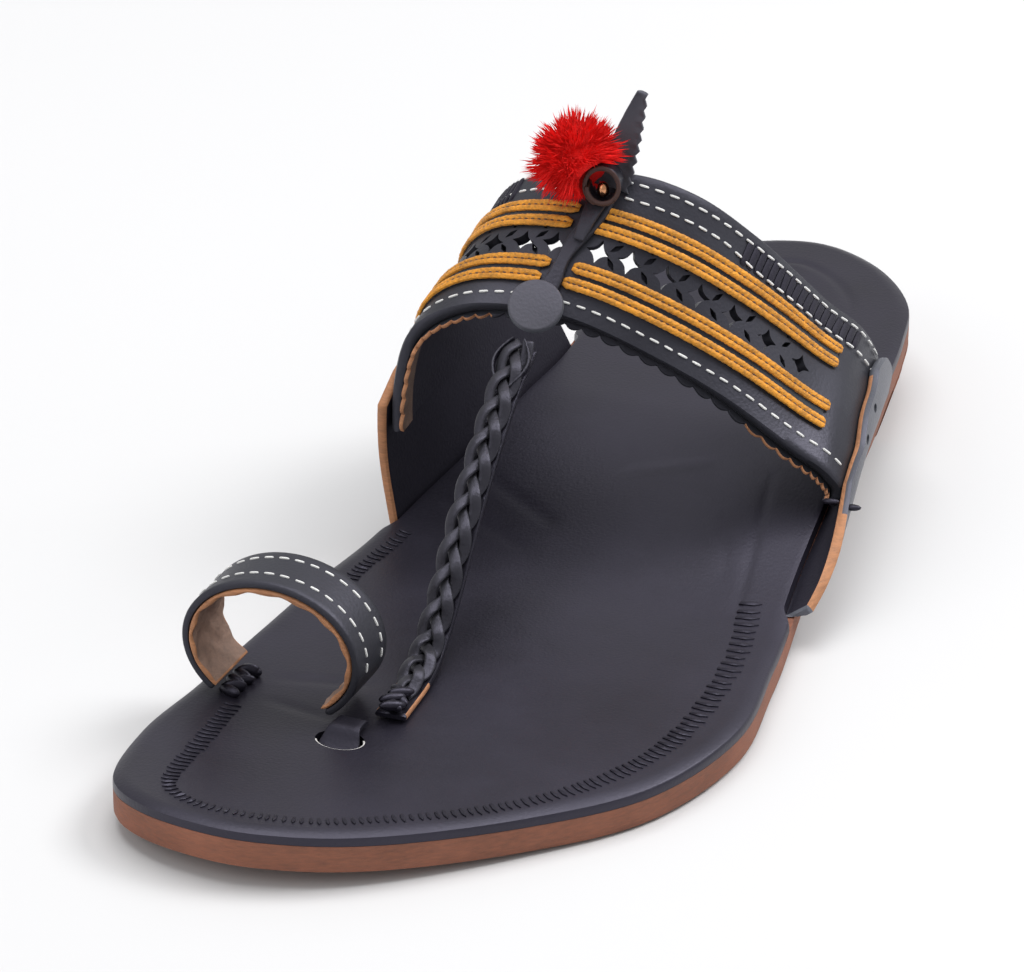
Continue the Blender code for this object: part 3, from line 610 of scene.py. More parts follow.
def curve_lengths(points):
    steps = np.linalg.norm(np.diff(points, axis=0), axis=1)
    return np.concatenate([[0.0], np.cumsum(steps)])


def sew(mesh, place, start, end, sizes, wobble=0.0, width=None):
    """Stitches at an even pitch along place(share) -> (point, normal), raised a little from the leather."""
    shares = np.linspace(start, end, 160)
    spots = [place(share) for share in shares]
    lengths = curve_lengths(np.array([spot[0][:] for spot in spots]))
    pitch = sizes.stitch_length + sizes.stitch_gap
    width = width or sizes.stitch_width
    count = int(lengths[-1] / pitch)
    rng = random.Random(7)
    for index in range(count):
        middle = (index + 0.5) * pitch
        share = float(np.interp(middle, lengths, shares))
        point, normal = place(share)
        ahead = place(float(np.interp(middle + sizes.stitch_length / 2, lengths, shares)))[0]
        behind = place(float(np.interp(middle - sizes.stitch_length / 2, lengths, shares)))[0]
        on = (ahead - behind).normalized()
        side = normal.cross(on).normalized()
        on = (on + side * rng.uniform(-1, 1) * wobble).normalized()
        side = normal.cross(on).normalized()
        length = sizes.stitch_length * rng.uniform(0.92, 1.06)
        axes = Matrix((on * length / 2, side * width / 2, on.cross(side) * width / 2))
        matrix = Matrix.Translation(point + normal * width * 0.18) @ axes.transposed().to_4x4()
        made = bmesh.ops.create_icosphere(mesh, subdivisions=2, radius=1.0)
        for vert in made["verts"]:
            squared = [math.copysign(abs(value) ** 0.55, value) for value in vert.co]
            vert.co = matrix @ Vector(squared)


# The sole

def build_outsole(sizes):
    """Outsole with a softly worn lower edge, and the heel lift under it."""
    def place(share, across, lift):
        along = TOE_Y + (HEEL_Y - TOE_Y) * share
        inner, outer = sole_edges(along)
        middle, half = (inner + outer) / 2, max((outer - inner) / 2, 0.0)
        low, high = outsole_bottom(along), outsole_top(along)
        return Vector((middle + half * across, along, low + (high - low) * lift))

    def heel_place(share, across, lift):
        along = HEEL_Y - HEEL_LENGTH * (1.0 - share)
        inner, outer = sole_edges(along)
        middle, half = (inner + outer) / 2, (outer - inner) / 2
        taper = HEEL_TAPER * (1.0 - lift)
        half = max(half - taper, 0.0)
        back = along - taper * float(smooth_step(share * 1.6 - 0.5))
        return Vector((middle + half * across, back, (outsole_bottom(along) - FIT_GAP) * lift))

    stations = [((1 - math.cos(math.pi * step / 220)) / 2, 1.0) for step in range(221)]
    mesh = bmesh.new()
    strap(mesh, stations, sole_profile(24), place)
    add_piece("outsole_leather", mesh, ["sole_brown"], ["outsole"])
    heel_stations = [(math.sin(math.pi / 2 * step / 60), 1.0) for step in range(61)]
    mesh = bmesh.new()
    strap(mesh, heel_stations, sole_profile(16), heel_place)
    bmesh.ops.holes_fill(mesh, edges=[edge for edge in mesh.edges if edge.is_boundary], sides=0)
    add_piece("heel_leather", mesh, ["sole_brown"], ["heel"])


def sole_profile(steps):
    """Across the sole: flat top, nearly upright sides, slightly rounded at the ground."""
    points = [(-1.0 + 2.0 * step / steps, 1.0, 0) for step in range(steps)]
    points += [(1.0, 1.0, 0), (1.0, 0.66, 0), (1.0, 0.33, 0), (0.998, 0.10, 0)]
    points += [(0.985 - 1.97 * step / steps, 0.0, 0) for step in range(steps)]
    points += [(-0.985, 0.0, 0), (-0.998, 0.10, 0), (-1.0, 0.33, 0), (-1.0, 0.66, 0)]
    return points


# Soft folds pressed into the insole: (x, y) at both ends, width and depth in millimetres
INSOLE_FOLDS = (
    ((20.0, 24.0), (30.0, -2.0), 1.1, 0.25),
    ((28.0, 30.0), (37.0, -14.0), 1.2, 0.30),
    ((-34.0, 14.0), (-12.0, 3.0), 1.6, 0.40),
    ((-36.0, 3.0), (-15.0, -6.0), 1.4, 0.35),
    ((-2.0, 22.0), (14.0, 30.0), 1.6, 0.25),
    ((-38.0, -75.0), (-20.0, -70.0), 2.2, 0.35),
    ((-36.0, -84.0), (-22.0, -86.0), 2.0, 0.30),
)


def ear_inset(along, side):
    span = EAR_SPANS[side]
    row = UPPER_ROWS[-1] if side == "lateral" else UPPER_ROWS[0]
    front = (row[0] + (row[3] - row[0]) * span[0]) * SOLE_LENGTH
    rear = (row[0] + (row[3] - row[0]) * span[1]) * SOLE_LENGTH
    margin = 0.004
    inside = smooth_step((along - front + margin) / margin) * smooth_step((rear + margin - along) / margin)
    return float(inside) * (EAR_THICKNESS - FIT_GAP)


def edge_distance(x, y):
    """How far inside the sole's outline a place lies."""
    line = np.roll(OUTLINE, -1, axis=0) - OUTLINE
    reach = np.maximum((line ** 2).sum(axis=1), 1e-12)
    share = np.clip((((x, y) - OUTLINE) * line).sum(axis=1) / reach, 0.0, 1.0)
    return float(np.min(np.linalg.norm(OUTLINE + line * share[:, None] - (x, y), axis=1)))


def build_insole(sizes):
    """Insole with a soft edge, pressed folds, the groove round the heel seat and the slot."""
    folds = [(np.array(a) / 1000, np.array(b) / 1000, width / 1000, depth / 1000)
             for a, b, width, depth in INSOLE_FOLDS]
    outline = OUTLINE[OUTLINE[:, 1] > 0.055]

    def dent(x, y):
        here = np.array([x, y])
        total = 0.0
        for start, end, width, depth in folds:
            line = end - start
            share = float(np.clip((here - start) @ line / (line @ line), 0.0, 1.0))
            away = float(np.linalg.norm(here - start - line * share))
            if away < width * 3:
                fade = math.sin(math.pi * min(1.0, 0.12 + share * 0.76)) ** 0.5
                total += depth * fade * math.exp(-(away / width) ** 2 * 2)
        if y > 0.06:
            away = float(np.min(np.linalg.norm(outline - here, axis=1)))
            total += 0.00035 * math.exp(-((away - 0.013) / 0.0011) ** 2) * float(smooth_step((y - 0.07) / 0.02))
            total += 0.0006 * float(smooth_step((away - 0.013) / 0.012)) * float(smooth_step((y - 0.07) / 0.02))
        return total

    def place(share, across, lift):
        along = TOE_Y + (HEEL_Y - TOE_Y) * share
        inner, outer = sole_edges(along)
        inner += ear_inset(along, "medial")
        outer -= ear_inset(along, "lateral")
        middle, half = (inner + outer) / 2, max((outer - inner) / 2, 0.0)
        x = middle + half * across
        low, high = outsole_top(along) + FIT_GAP * 0.3, insole_top(along)
        z = low + (high - low) * lift
        if lift > 0.99:
            z -= dent(x, along)
            z -= 0.0010 * max(0.0, 1.0 - edge_distance(x, along) / 0.0034) ** 2
        return Vector((x, along, z))

    steps = 96
    turns = [(step / steps - 0.5) * math.pi * 0.9 for step in range(steps + 1)]
    widest = math.sin(turns[-1])
    profile = [(math.sin(turn) / widest * 0.994, 1.0, 0) for turn in turns]
    profile += [(0.999, 0.52, 0), (1.0, 0.3, 0)]
    profile += [(1.0 - 2.0 * step / 12, 0.0, 0) for step in range(13)]
    profile += [(-1.0, 0.3, 0), (-0.999, 0.52, 0)]
    stations = [((1 - math.cos(math.pi * step / 300)) / 2, 1.0) for step in range(301)]
    mesh = bmesh.new()
    strap(mesh, stations, profile, place)
    insole = add_piece("insole_leather", mesh, ["insole_black"], ["insole"])
    slot = bmesh.new()
    middle = Vector((SLOT_PLACE[0], SLOT_PLACE[1], insole_top(SLOT_PLACE[1])))
    matrix = Matrix.Translation(middle) @ Matrix.Diagonal((0.00525, 0.0039, 0.006, 1.0))
    bmesh.ops.create_cone(slot, cap_ends=True, segments=36, radius1=1.0, radius2=1.0, depth=1.0, matrix=matrix)
    carve(insole, slot)


# Middle line of the tooled border and the length of its marks, in millimetres
BORDER_PATH = (
    (38.5, -9.0, 5.8), (43.5, -31.0, 5.8), (45.0, -58.0, 5.6), (41.0, -78.0, 5.2), (31.0, -96.0, 4.6),
    (19.5, -109.0, 4.2), (7.5, -119.0, 3.8), (-5.0, -127.5, 3.4), (-16.0, -131.0, 3.4), (-26.0, -132.0, 3.4),
    (-33.0, -130.5, 3.4), (-38.0, -126.5, 3.6), (-40.0, -119.0, 4.4), (-40.8, -108.0, 5.0), (-42.0, -92.0, 5.0),
    (-43.0, -70.0, 4.6), (-43.0, -45.0, 4.4), (-42.5, -25.0, 4.2), (-40.0, -9.0, 4.2),
)


BORDER_STEPS = 1600


def build_border(sizes):
    """The tooled border: short low bars across a line inside the edge of the insole."""
    mesh = bmesh.new()
    rng = random.Random(3)
    line = smooth_path(BORDER_PATH, BORDER_STEPS) / 1000
    lengths = curve_lengths(line[:, :2])
    travel = 0.0
    while travel < lengths[-1]:
        index = min(int(np.searchsorted(lengths, travel)), len(line) - 1)
        spot, length = line[index, :2], line[index, 2]
        ahead, behind = line[min(index + 14, len(line) - 1), :2], line[max(index - 14, 0), :2]
        on = (ahead - behind) / np.linalg.norm(ahead - behind)
        tilt = (insole_top(spot[1] + 0.001) - insole_top(spot[1] - 0.001)) / 0.002
        on_way = Vector((on[0], on[1], on[1] * tilt)).normalized()
        across = Vector((-on[1], on[0], on[0] * tilt)).normalized()
        on_way = (on_way + across * rng.uniform(-0.08, 0.08)).normalized()
        up = across.cross(on_way)
        if up.z < 0:
            up = -up
        pitch = sizes.border_pitch * (1.5 - 0.55 * float(smooth_step((travel - 0.02) / 0.05)))
        top = insole_top(spot[1])
        axes = Matrix((across * length * rng.uniform(0.85, 1.1) / 2, on_way * pitch * 0.30, up * 0.00055))
        matrix = Matrix.Translation((spot[0], spot[1], top)) @ axes.transposed().to_4x4()
        bmesh.ops.create_icosphere(mesh, subdivisions=1, radius=1.0, matrix=matrix)
        travel += pitch * rng.uniform(0.9, 1.1)
        while spot[0] < -0.03 and -0.088 < line[min(int(np.searchsorted(lengths, travel)), BORDER_STEPS), 1] < -0.040:
            travel += pitch
    add_piece("tooled_border", mesh, ["lacing_black"])


# The ears and the band

def build_ear(side, sizes):
    """One ear: black or grey faces with a raw tan cut edge."""
    rows, span = EAR_ROWS[side], EAR_SPANS[side]
    tops = np.array(rows)
    floor = FIT_GAP / INSTEP_RISE

    def place(share, across, lift):
        cross = span[0] + (span[1] - span[0]) * share
        top = float(np.interp(share, tops[:, 0], tops[:, 1]))
        wave = 0.0
        if side == "lateral":
            wave = 0.006 * math.sin(share * 23.0) * float(smooth_step((share - 0.42) / 0.14))
        height = floor + (top + wave - floor) * across
        around = share_at_height(side, cross, height)
        point = upper_point(around, cross, FIT_GAP + EAR_THICKNESS * lift)
        low = outsole_top(point.y) + FIT_GAP
        point.z = low if across == 0.0 else max(point.z, low + across * EAR_LEVEL_STEP)
        return point

    steps = 12
    profile = [(step / steps * 0.97, 1.0, 0) for step in range(steps)]
    profile += [(0.97, 1.0, 3), (0.99, 0.85, 3), (1.0, 0.5, 2), (0.99, 0.15, 2)]
    profile += [(0.97 - step / steps * 0.97, 0.0, 1) for step in range(steps + 1)]

    def retone(share, tone):
        if side == "lateral" and ((tone == 3 and share > 0.26) or (tone == 2 and share > 0.80)):
            return 0
        return min(tone, 2)

    mesh = bmesh.new()
    strap(mesh, run_stations(84, 0.085, 0.0008), profile, place, 2 if side == "medial" else 0, retone)
    outside = "ear_grey" if side == "lateral" else "band_black"
    ear = add_piece("ear_" + side + "_leather", mesh, [outside, "ear_inside", "cut_tan"],
                    ["ear_" + side])
    if side == "medial":
        return
    holes = bmesh.new()
    for share, high in ((0.55, 0.86), (0.68, 0.84)):
        spot = place(share, high, 1.0)
        out = (spot - place(share, high, 0.0)).normalized()
        on = (place(share + 0.02, high, 1.0) - spot).normalized()
        axes = Matrix((on * 0.0013, out.cross(on) * 0.0009, out * 0.0036))
        bmesh.ops.create_cone(holes, cap_ends=True, segments=20, radius1=1.0, radius2=1.0, depth=1.0,
                              matrix=Matrix.Translation(spot) @ axes.transposed().to_4x4())
    carve(ear, holes)
    mesh = bmesh.new()
    trunk = place(0.30, 0.93, 0.5)
    for reach, drop, size in ((-0.0032, 0.0002, 0.0008), (0.0016, -0.0002, 0.0009)):
        axes = Matrix(((0.0021, 0.0, 0.0003), (0.0, size, 0.0), (-0.0002, 0.0, 0.0007)))
        matrix = Matrix.Translation(trunk + Vector((reach, 0.0, drop))) @ axes.transposed().to_4x4()
        bmesh.ops.create_icosphere(mesh, subdivisions=2, radius=1.0, matrix=matrix)
    add_piece("ear_thong", mesh, ["lacing_black"])


def slit(mesh, share, cross, length, width, turn):
    """A pointed slit as a cutter half way into the band."""
    centre = Vector(upper_place(share, cross))
    side, rear, normal = band_axes(share, cross)
    on = side * math.cos(turn) + rear * math.sin(turn)
    across = normal.cross(on)
    axes = Matrix((on * length / 2, across * width / 2, normal * BAND_THICKNESS * 1.3))
    matrix = Matrix.Translation(centre) @ axes.transposed().to_4x4()
    made = bmesh.ops.create_cone(mesh, cap_ends=True, segments=8, radius1=1.0, radius2=1.0, depth=1.0,
                                 matrix=Matrix.Identity(4))
    for vert in made["verts"]:
        vert.co.y *= 1.0 - 0.6 * abs(vert.co.x)
        vert.co = matrix @ vert.co


def star(mesh, share, cross, reach):
    """A four-pointed star with hollow sides as a cutter through the band."""
    centre = Vector(upper_place(share, cross))
    side, rear, normal = band_axes(share, cross)
    axes = Matrix((side * reach, rear * reach, normal * BAND_THICKNESS * 3))
    matrix = Matrix.Translation(centre) @ axes.transposed().to_4x4()
    made = bmesh.ops.create_cone(mesh, cap_ends=True, segments=16, radius1=1.0, radius2=1.0, depth=1.0,
                                 matrix=Matrix.Identity(4))
    for vert in made["verts"]:
        turn = math.atan2(vert.co.y, vert.co.x)
        pointed = abs(math.cos(2 * turn))
        radius = 0.50 + 0.50 * pointed ** 6
        vert.co.x *= radius
        vert.co.y *= radius
        vert.co = matrix @ vert.co


def build_band(sizes):
    """The band's leather with its cut-outs, its lining and the pinked edge below."""
    def place(share, across, lift):
        around = BAND_START + (BAND_END - BAND_START) * share
        flare = cross_width(around, 1.0, 0.0020) * float(smooth_step((share - 0.30) / 0.2) * smooth_step((1.0 - share) / 0.1))
        cross = 0.5 + 0.5 * across + flare * max(0.0, across) ** 3
        return upper_point(around, cross, -BAND_THICKNESS * (1.0 - lift))

    mesh = bmesh.new()
    strap(mesh, run_stations(150, 0.2, 0.0006), flat_profile(30, 0.03, 0, 0, 1), place, 0)
    band = add_piece("band_leather", mesh, ["band_black", "ear_inside"], ["band"])
    cutters = bmesh.new()
    for share in CUTOUT_STEPS:
        star(cutters, share, CUTOUT_LINE, 0.0027)
    carve(band, cutters)
    cutters = bmesh.new()
    for first, second in zip(CUTOUT_STEPS, CUTOUT_STEPS[1:]):
        middle = (first + second) / 2
        if abs(middle - thong_share(CUTOUT_LINE)) < 0.014:
            continue
        for away, turn in ((0.055, 0.8), (-0.055, -0.8)):
            slit(cutters, middle, CUTOUT_LINE + away, 0.0032, 0.0012, turn)
            slit(cutters, middle, CUTOUT_LINE + away * 2.0, 0.0010, 0.0010, turn)
    carve(band, cutters)

    def pinked(share, across, lift):
        around = BAND_START + 0.004 + (BAND_END - BAND_START - 0.008) * share
        tooth = abs(math.sin(math.pi * share * 40.0)) ** 0.7
        edge = 0.5 - 0.5 * across
        reach = cross_width(around, 0.0, 0.0002 + 0.0011 * tooth) * (1.0 if edge > 0.5 else 0.0)
        cross = 0.06 * (1.0 - edge) - reach * max(0.0, (edge - 0.5) * 2)
        return upper_point(around, cross, -BAND_THICKNESS - 0.0001 - 0.0009 * (1.0 - lift))

    def retone(share, tone):
        if tone == 1 and 0.33 < share < 0.70:
            return 0
        return 3 if tone == 2 and share > 0.33 else tone

    mesh = bmesh.new()
    strap(mesh, run_stations(392, 0.2, 0.0004), flat_profile(4, 0.08, 0, 1, 2), pinked, 1, retone)
    add_piece("pinked_lining", mesh, ["band_black", "cut_tan", "lining_brown", "ear_inside"])


def band_line(cross, drift=0.0):
    """A line along the band at a cross share; past the start of the edge thongs it drifts and lies over them."""
    def place(share):
        past = float(smooth_step((share - 0.62) / 0.06)) if cross > 0.5 else 0.0
        return (upper_point(share, cross + drift * past, 0.0004 * past),
                Vector(upper_normal(share, cross + drift * past)))
    return place


def build_stitches(sizes):
    """White stitch lines along the band's front and rear edges."""
    mesh = bmesh.new()
    middle = thong_share(0.1)
    sew(mesh, band_line(0.10), 0.130, middle - 0.022, sizes, 0.05)
    sew(mesh, band_line(0.10), middle + 0.022, 0.905, sizes, 0.05)
    for cross, drift, start, end in ((0.872, -0.055, 0.150, 0.895), (0.982, -0.010, 0.140, 0.900)):
        sew(mesh, band_line(cross, drift), start, end, sizes, 0.05)
    add_piece("band_stitches", mesh, ["white_thread"])


# Shares along the band: from the thong to a cord's lateral start and medial end, and off its lateral end
CORD_NEAR_THONG = {
    "front_lower": (0.014, 0.016, 0.011),
    "front_upper": (0.014, 0.016, 0.010),
    "rear_lower": (-0.006, 0.022, 0.005),
    "rear_upper": (-0.014, 0.024, 0.004),
}


def build_cords(sizes):
    """Gold cords in pairs, each two twisted strands with dark stitches between, on navy ground."""
    for label, line, first, last in CORD_ROWS:
        middle = thong_share(line)
        near, far, trim = CORD_NEAR_THONG[label]
        for side, start, end in (("medial", first, middle - far), ("lateral", middle + near, last - trim)):
            build_cord("cord_" + label + "_" + side, line, start, end, sizes)
    ground = bmesh.new()
    for low, high in ((0.200, 0.360), (0.600, 0.760)):
        for start, end in ((0.196, 0.428), (0.484, 0.790)):
            def place(share, across, lift):
                around = start + (end - start) * share
                return upper_point(around, (low + high) / 2 + (high - low) / 2 * across, 0.00032 * lift)
            strap(ground, run_stations(50, 0.06, 0.0004), flat_profile(4, 0.03, 0, 0, 0), place)
    add_piece("cord_ground", ground, ["navy"])


def build_cord(name, line, start, end, sizes):
    length = float(curve_lengths(np.array([upper_place(share, line) for share in np.linspace(start, end, 40)]))[-1])
    half = sizes.cord_width / 4
    mesh = bmesh.new()
    stations = run_stations(int(length / 0.0004), length, 0.0012)
    pitch = 0.0011
    for strand in (-1, 1):
        def place(share, across, lift):
            around = start + (end - start) * share
            travel = share * length
            angle = math.atan2(lift - 0.5, across)
            phase = 2 * math.pi * travel / pitch + 1.4 * math.sin(travel * 900.0) + strand * angle
            twist = 1.0 + 0.07 * math.sin(phase) + 0.04 * math.sin(travel * 2300.0 + strand)
            ends = min(1.0, 0.55 + min(travel, length - travel) / 0.003)
            width = cross_width(around, line, half)
            cross = line + width * ends * (strand + across * twist)
            height = 0.00015 + sizes.cord_height * (0.5 + (lift - 0.5) * twist)
            return upper_point(around, cross, height)
        strap(mesh, stations, round_profile(8), place)
    add_piece(name + "_twist", mesh, ["gold"], [name])
    dots = bmesh.new()
    count = int(length / 0.0014)
    for index in range(1, count):
        around = start + (end - start) * index / count
        side, rear, normal = band_axes(around, line)
        point = upper_point(around, line, sizes.cord_height * 0.82)
        axes = Matrix((side * 0.00052, rear * 0.00028, normal * 0.00026))
        bmesh.ops.create_icosphere(dots, subdivisions=1, radius=1.0,
                                   matrix=Matrix.Translation(point) @ axes.transposed().to_4x4())
    add_piece(name + "_stitches", dots, ["gold_shade"])


def build_lacing(sizes):
    """Crosswise thongs laced beside the band's rear edge."""
    for side, start, end in LACING_RUNS:
        mesh = bmesh.new()
        start = start - (0.030 if side == "lateral" else 0.0)
        ribs = 19 if side == "lateral" else 12
        rng = random.Random(5)
        shares = np.linspace(start, end, 60)
        lengths = curve_lengths(np.array([upper_place(share, LACING_LINE) for share in shares]))
        wide = float(lengths[-1]) / ribs
        for rib in range(ribs):
            around = float(np.interp((rib + 0.5) * wide, lengths, shares))
            across_axis, rear, normal = band_axes(around, LACING_LINE)
            lean = (across_axis * (0.20 + rng.uniform(-0.06, 0.06)) + rear).normalized()
            point = upper_point(around, LACING_LINE, 0.0)
            axes = Matrix((lean * 0.0034, lean.cross(normal) * wide * 0.44, normal * 0.00042))
            matrix = Matrix.Translation(point) @ axes.transposed().to_4x4()
            made = bmesh.ops.create_icosphere(mesh, subdivisions=2, radius=1.0)
            for vert in made["verts"]:
                squared = [math.copysign(abs(value) ** 0.5, value) for value in vert.co]
                vert.co = matrix @ Vector(squared)
        add_piece("edge_thongs_" + side, mesh, ["slot_black"], ["edge_lacing_" + side])


# The ornament on the instep

def build_ornament(sizes):
    """Disc, thong, curl, bead and leaf."""
    build_disc()
    build_thong()
    centre, axis = curl_place()
    build_curl(centre, axis)
    build_leaf(centre, axis)


def build_disc():
    share = thong_share(-0.020)
    side, rear, normal = band_axes(share, 0.1)
    centre = Vector(upper_place(share, -0.020)) + normal * 0.0020 + side * 0.0010 + rear * 0.0009
    mesh = bmesh.new()
    axes = Matrix((side, rear, normal)).transposed().to_4x4()
    matrix = Matrix.Translation(centre + normal * 0.0009) @ axes
    made = bmesh.ops.create_cone(mesh, cap_ends=True, segments=56, radius1=0.0059, radius2=0.0057, depth=0.0013,
                                 matrix=Matrix.Identity(4))
    rim = [edge for edge in mesh.edges if abs(edge.verts[0].co.z - edge.verts[1].co.z) < 1e-6
           and edge.verts[0].co.z > 0]
    bmesh.ops.bevel(mesh, geom=rim, offset=0.0004, segments=3, profile=0.5, affect="EDGES", material=-1)
    for face in mesh.faces:
        face.material_index = 1 if abs(face.normal.z) < 0.5 else 0
    bmesh.ops.transform(mesh, matrix=matrix, verts=mesh.verts)
    add_piece("disc_leather", mesh, ["leaf_slate", "ear_grey"], ["disc"])


def build_thong():
    mesh = bmesh.new()

    def place(share, across, lift):
        cross = 0.02 + 0.80 * share
        side, rear, normal = band_axes(thong_share(cross), cross)
        base = Vector(upper_place(thong_share(cross), cross))
        neck = 1.0 - 0.34 * math.exp(-((share - 0.42) / 0.16) ** 2)
        bulge = 0.0005 * math.sin(share * 9.0)
        return base + side * (across * 0.0021 * neck + bulge) + normal * (0.0003 + 0.0014 * lift)

    strap(mesh, run_stations(40, 0.035, 0.0004), flat_profile(6, 0.2, 0, 0, 0), place)

    def fold(share, across, lift):
        cross = 0.50 + 0.32 * share
        side, rear, normal = band_axes(thong_share(cross), cross)
        base = Vector(upper_place(thong_share(cross), cross))
        width = 0.0011 + 0.0013 * share
        lean = 0.0012 * (0.5 - share)
        rise = 0.0017 + 0.0006 * math.sin(math.pi * share) + 0.0011 * lift
        return base + side * (across * width + lean) + normal * rise

    strap(mesh, run_stations(24, 0.016, 0.0004), flat_profile(6, 0.2, 0, 0, 0), fold)
    add_piece("thong_leather_fold", mesh, ["thong_black"], ["centre_thong"])


def curl_place():
    side, rear, normal = band_axes(thong_share(CURL_CROSS), CURL_CROSS)
    leaf_up = Vector(LEAF_LEAN).normalized()
    axis = Vector(CURL_FACING)
    axis = (axis - leaf_up * axis.dot(leaf_up)).normalized()
    centre = Vector(upper_place(thong_share(CURL_CROSS), CURL_CROSS)) + normal * 0.0058
    return centre, axis


def build_curl(centre, axis):
    """The thong's end rolled into a loop round the bead."""
    up = (Vector((0, 0, 1)) - axis * axis.z).normalized()
    across = axis.cross(up)
    mesh = bmesh.new()

    def place(share, reach, lift):
        turn = math.radians(-70) + share * math.radians(430)
        radius = 0.0044 - 0.0007 * share
        out = across * math.cos(turn) + up * math.sin(turn) * 1.12
        return centre + out * (radius - 0.0010 * (1.0 - lift)) + axis * (reach * 0.0022 + 0.0008 * share)

    strap(mesh, run_stations(56, 0.03, 0.0004), flat_profile(5, 0.12, 0, 1, 0), place, 1)
    add_piece("curl_leather", mesh, ["lacing_black", "curl_edge"], ["curl"])
    mesh = bmesh.new()
    place_at = centre - up * 0.0012 + axis * 0.0006
    stretch = Matrix((across * 0.0013, up * 0.0017, axis * 0.0013)).transposed().to_4x4()
    bmesh.ops.create_uvsphere(mesh, u_segments=24, v_segments=16, radius=1.0,
                              matrix=Matrix.Translation(place_at) @ stretch)
    add_piece("bead_copper", mesh, ["copper"], ["bead"])


def build_leaf(centre, axis):
    """The upright leaf with its pinked right edge, slightly bowed."""
    up = Vector(LEAF_LEAN).normalized()
    back = -axis
    across = back.cross(up)
    foot = centre + back * 0.0029 - up * 0.0024 + across * 0.0013
    teeth = 9

    def place(share, reach, lift):
        half = 0.0034 * (1.0 - 0.72 * share ** 2.0)
        tooth = 0.0009 * abs(((share * teeth) % 1.0) - 0.5) * 2.0 * (1.0 - 0.4 * share)
        side = reach * half + max(0.0, reach) * tooth + 0.0006 * share
        bow = 0.0010 * (1.0 - (reach * 0.9) ** 2) + 0.0014 * share ** 2
        return foot + up * share * 0.0224 + across * side + back * (bow + 0.0012 * lift)

    mesh = bmesh.new()
    strap(mesh, run_stations(90, 0.0226, 0.0003), flat_profile(8, 0.1, 0, 1, 0), place, 1)
    add_piece("leaf_leather", mesh, ["leaf_slate", "leaf_slate"], ["leaf"])


def build_pompom(sizes):
    """The pompom: a core and loose threads that fan out from it, some swept down to the loop."""
    curl, axis = curl_place()
    centre = curl + Vector(POMPOM_SHIFT) + Vector((-0.0002, 0.0008, -0.0010))
    mesh = bmesh.new()
    bmesh.ops.create_icosphere(mesh, subdivisions=4, radius=sizes.pompom_radius * 0.62,
                               matrix=Matrix.Translation(centre))
    rng = random.Random(11)
    share = thong_share(CURL_CROSS) - 0.06
    normal = Vector(upper_normal(share, CURL_CROSS))
    rest = Vector(upper_place(share, CURL_CROSS)) + normal * 0.0012
    golden = math.pi * (3 - math.sqrt(5))
    threads, rows, sides = sizes.pompom_threads, 5, 3
    grid = bmesh.ops.create_grid(mesh, x_segments=sides, y_segments=threads * rows - 1, size=0.5)
    spots = {vert: (round((vert.co.x + 0.5) * sides), round((vert.co.y + 0.5) * (threads * rows - 1)))
             for vert in grid["verts"]}
    between = [face for face in mesh.faces if all(vert in spots for vert in face.verts)
               and min(spots[vert][1] for vert in face.verts) % rows == rows - 1]
    bmesh.ops.delete(mesh, geom=between, context="FACES_ONLY")
    stray = [edge for edge in mesh.edges if not edge.link_faces]
    bmesh.ops.delete(mesh, geom=stray, context="EDGES")
    paths = []
    tufts = []
    for index in range(64):
        height = 1 - 2 * (index + 0.5) / 64
        ring = math.sqrt(1 - height ** 2)
        tuft = Vector((ring * math.cos(golden * index), ring * math.sin(golden * index), height))
        tufts.append((tuft, rng.uniform(0.86, 1.02), Vector([rng.gauss(0, 0.0011) for turn in range(3)])))
    while len(paths) < threads:
        tuft, length, drift = tufts[len(paths) % 64]
        way = (tuft + Vector([rng.gauss(0, 0.17) for turn in range(3)])).normalized()
        reach = sizes.pompom_radius * length * rng.uniform(0.95, 1.02)
        to_loop = centre + way * reach - curl
        beside = to_loop - axis * to_loop.dot(axis)
        if to_loop.dot(axis) > -0.0040 and beside.length < 0.0062:
            reach *= 0.55
        side = (drift + Vector([rng.gauss(0, 0.0005) for turn in range(3)]))
        paths.append((way, side, reach, rng.uniform(0.00012, 0.00021)))
    travels = (0.42, 0.5, 0.7, 0.88, 1.0)
    for vert, (column, row) in spots.items():
        way, drift, reach, thick = paths[row // rows]
        step = row % rows
        travel = travels[step]
        side = way.cross(drift).normalized()
        across = side.cross(way)
        radius = (0.0, thick, thick, thick * 0.8, 0.0)[step]
        turn = 2 * math.pi * column / sides
        vert.co = (centre + way * reach * travel + drift * (travel - 0.4) ** 2 * 2.6
                   + (side * math.cos(turn) + across * math.sin(turn)) * radius)
    bmesh.ops.remove_doubles(mesh, verts=list(spots), dist=1e-6)
    for vert in mesh.verts:
        depth = (rest - vert.co).dot(normal)
        if depth > 0:
            vert.co += normal * (depth + rng.uniform(0.0, 0.0004))
        away = vert.co - curl
        out = away - axis * away.dot(axis)
        if away.dot(axis) > -0.0026 and out.length < 0.0050:
            vert.co += out.normalized() * (0.0050 - out.length)
    add_piece("pompom_threads", mesh, ["red"], ["pompom"], 60)


# The toe ring and the braid

def ring_spot(turn, along, lift):
    """A point of the toe ring's strap, lift in metres from its inner face."""
    inset = RING_THICKNESS - lift
    half = RING_HALF_WIDTH - inset
    tall = RING_HEIGHT * RING_ROUND_SHARE - inset
    rise = RING_HEIGHT * (1.0 - RING_ROUND_SHARE)
    across, up = half * math.cos(turn), rise + tall * math.sin(turn)
    y = RING_PLACE[1] + along * RING_STRAP / 2 + RING_SKEW * up / RING_HEIGHT
    return Vector((RING_PLACE[0] + across, y, insole_top(y) + FIT_GAP + max(up, 0.0)))


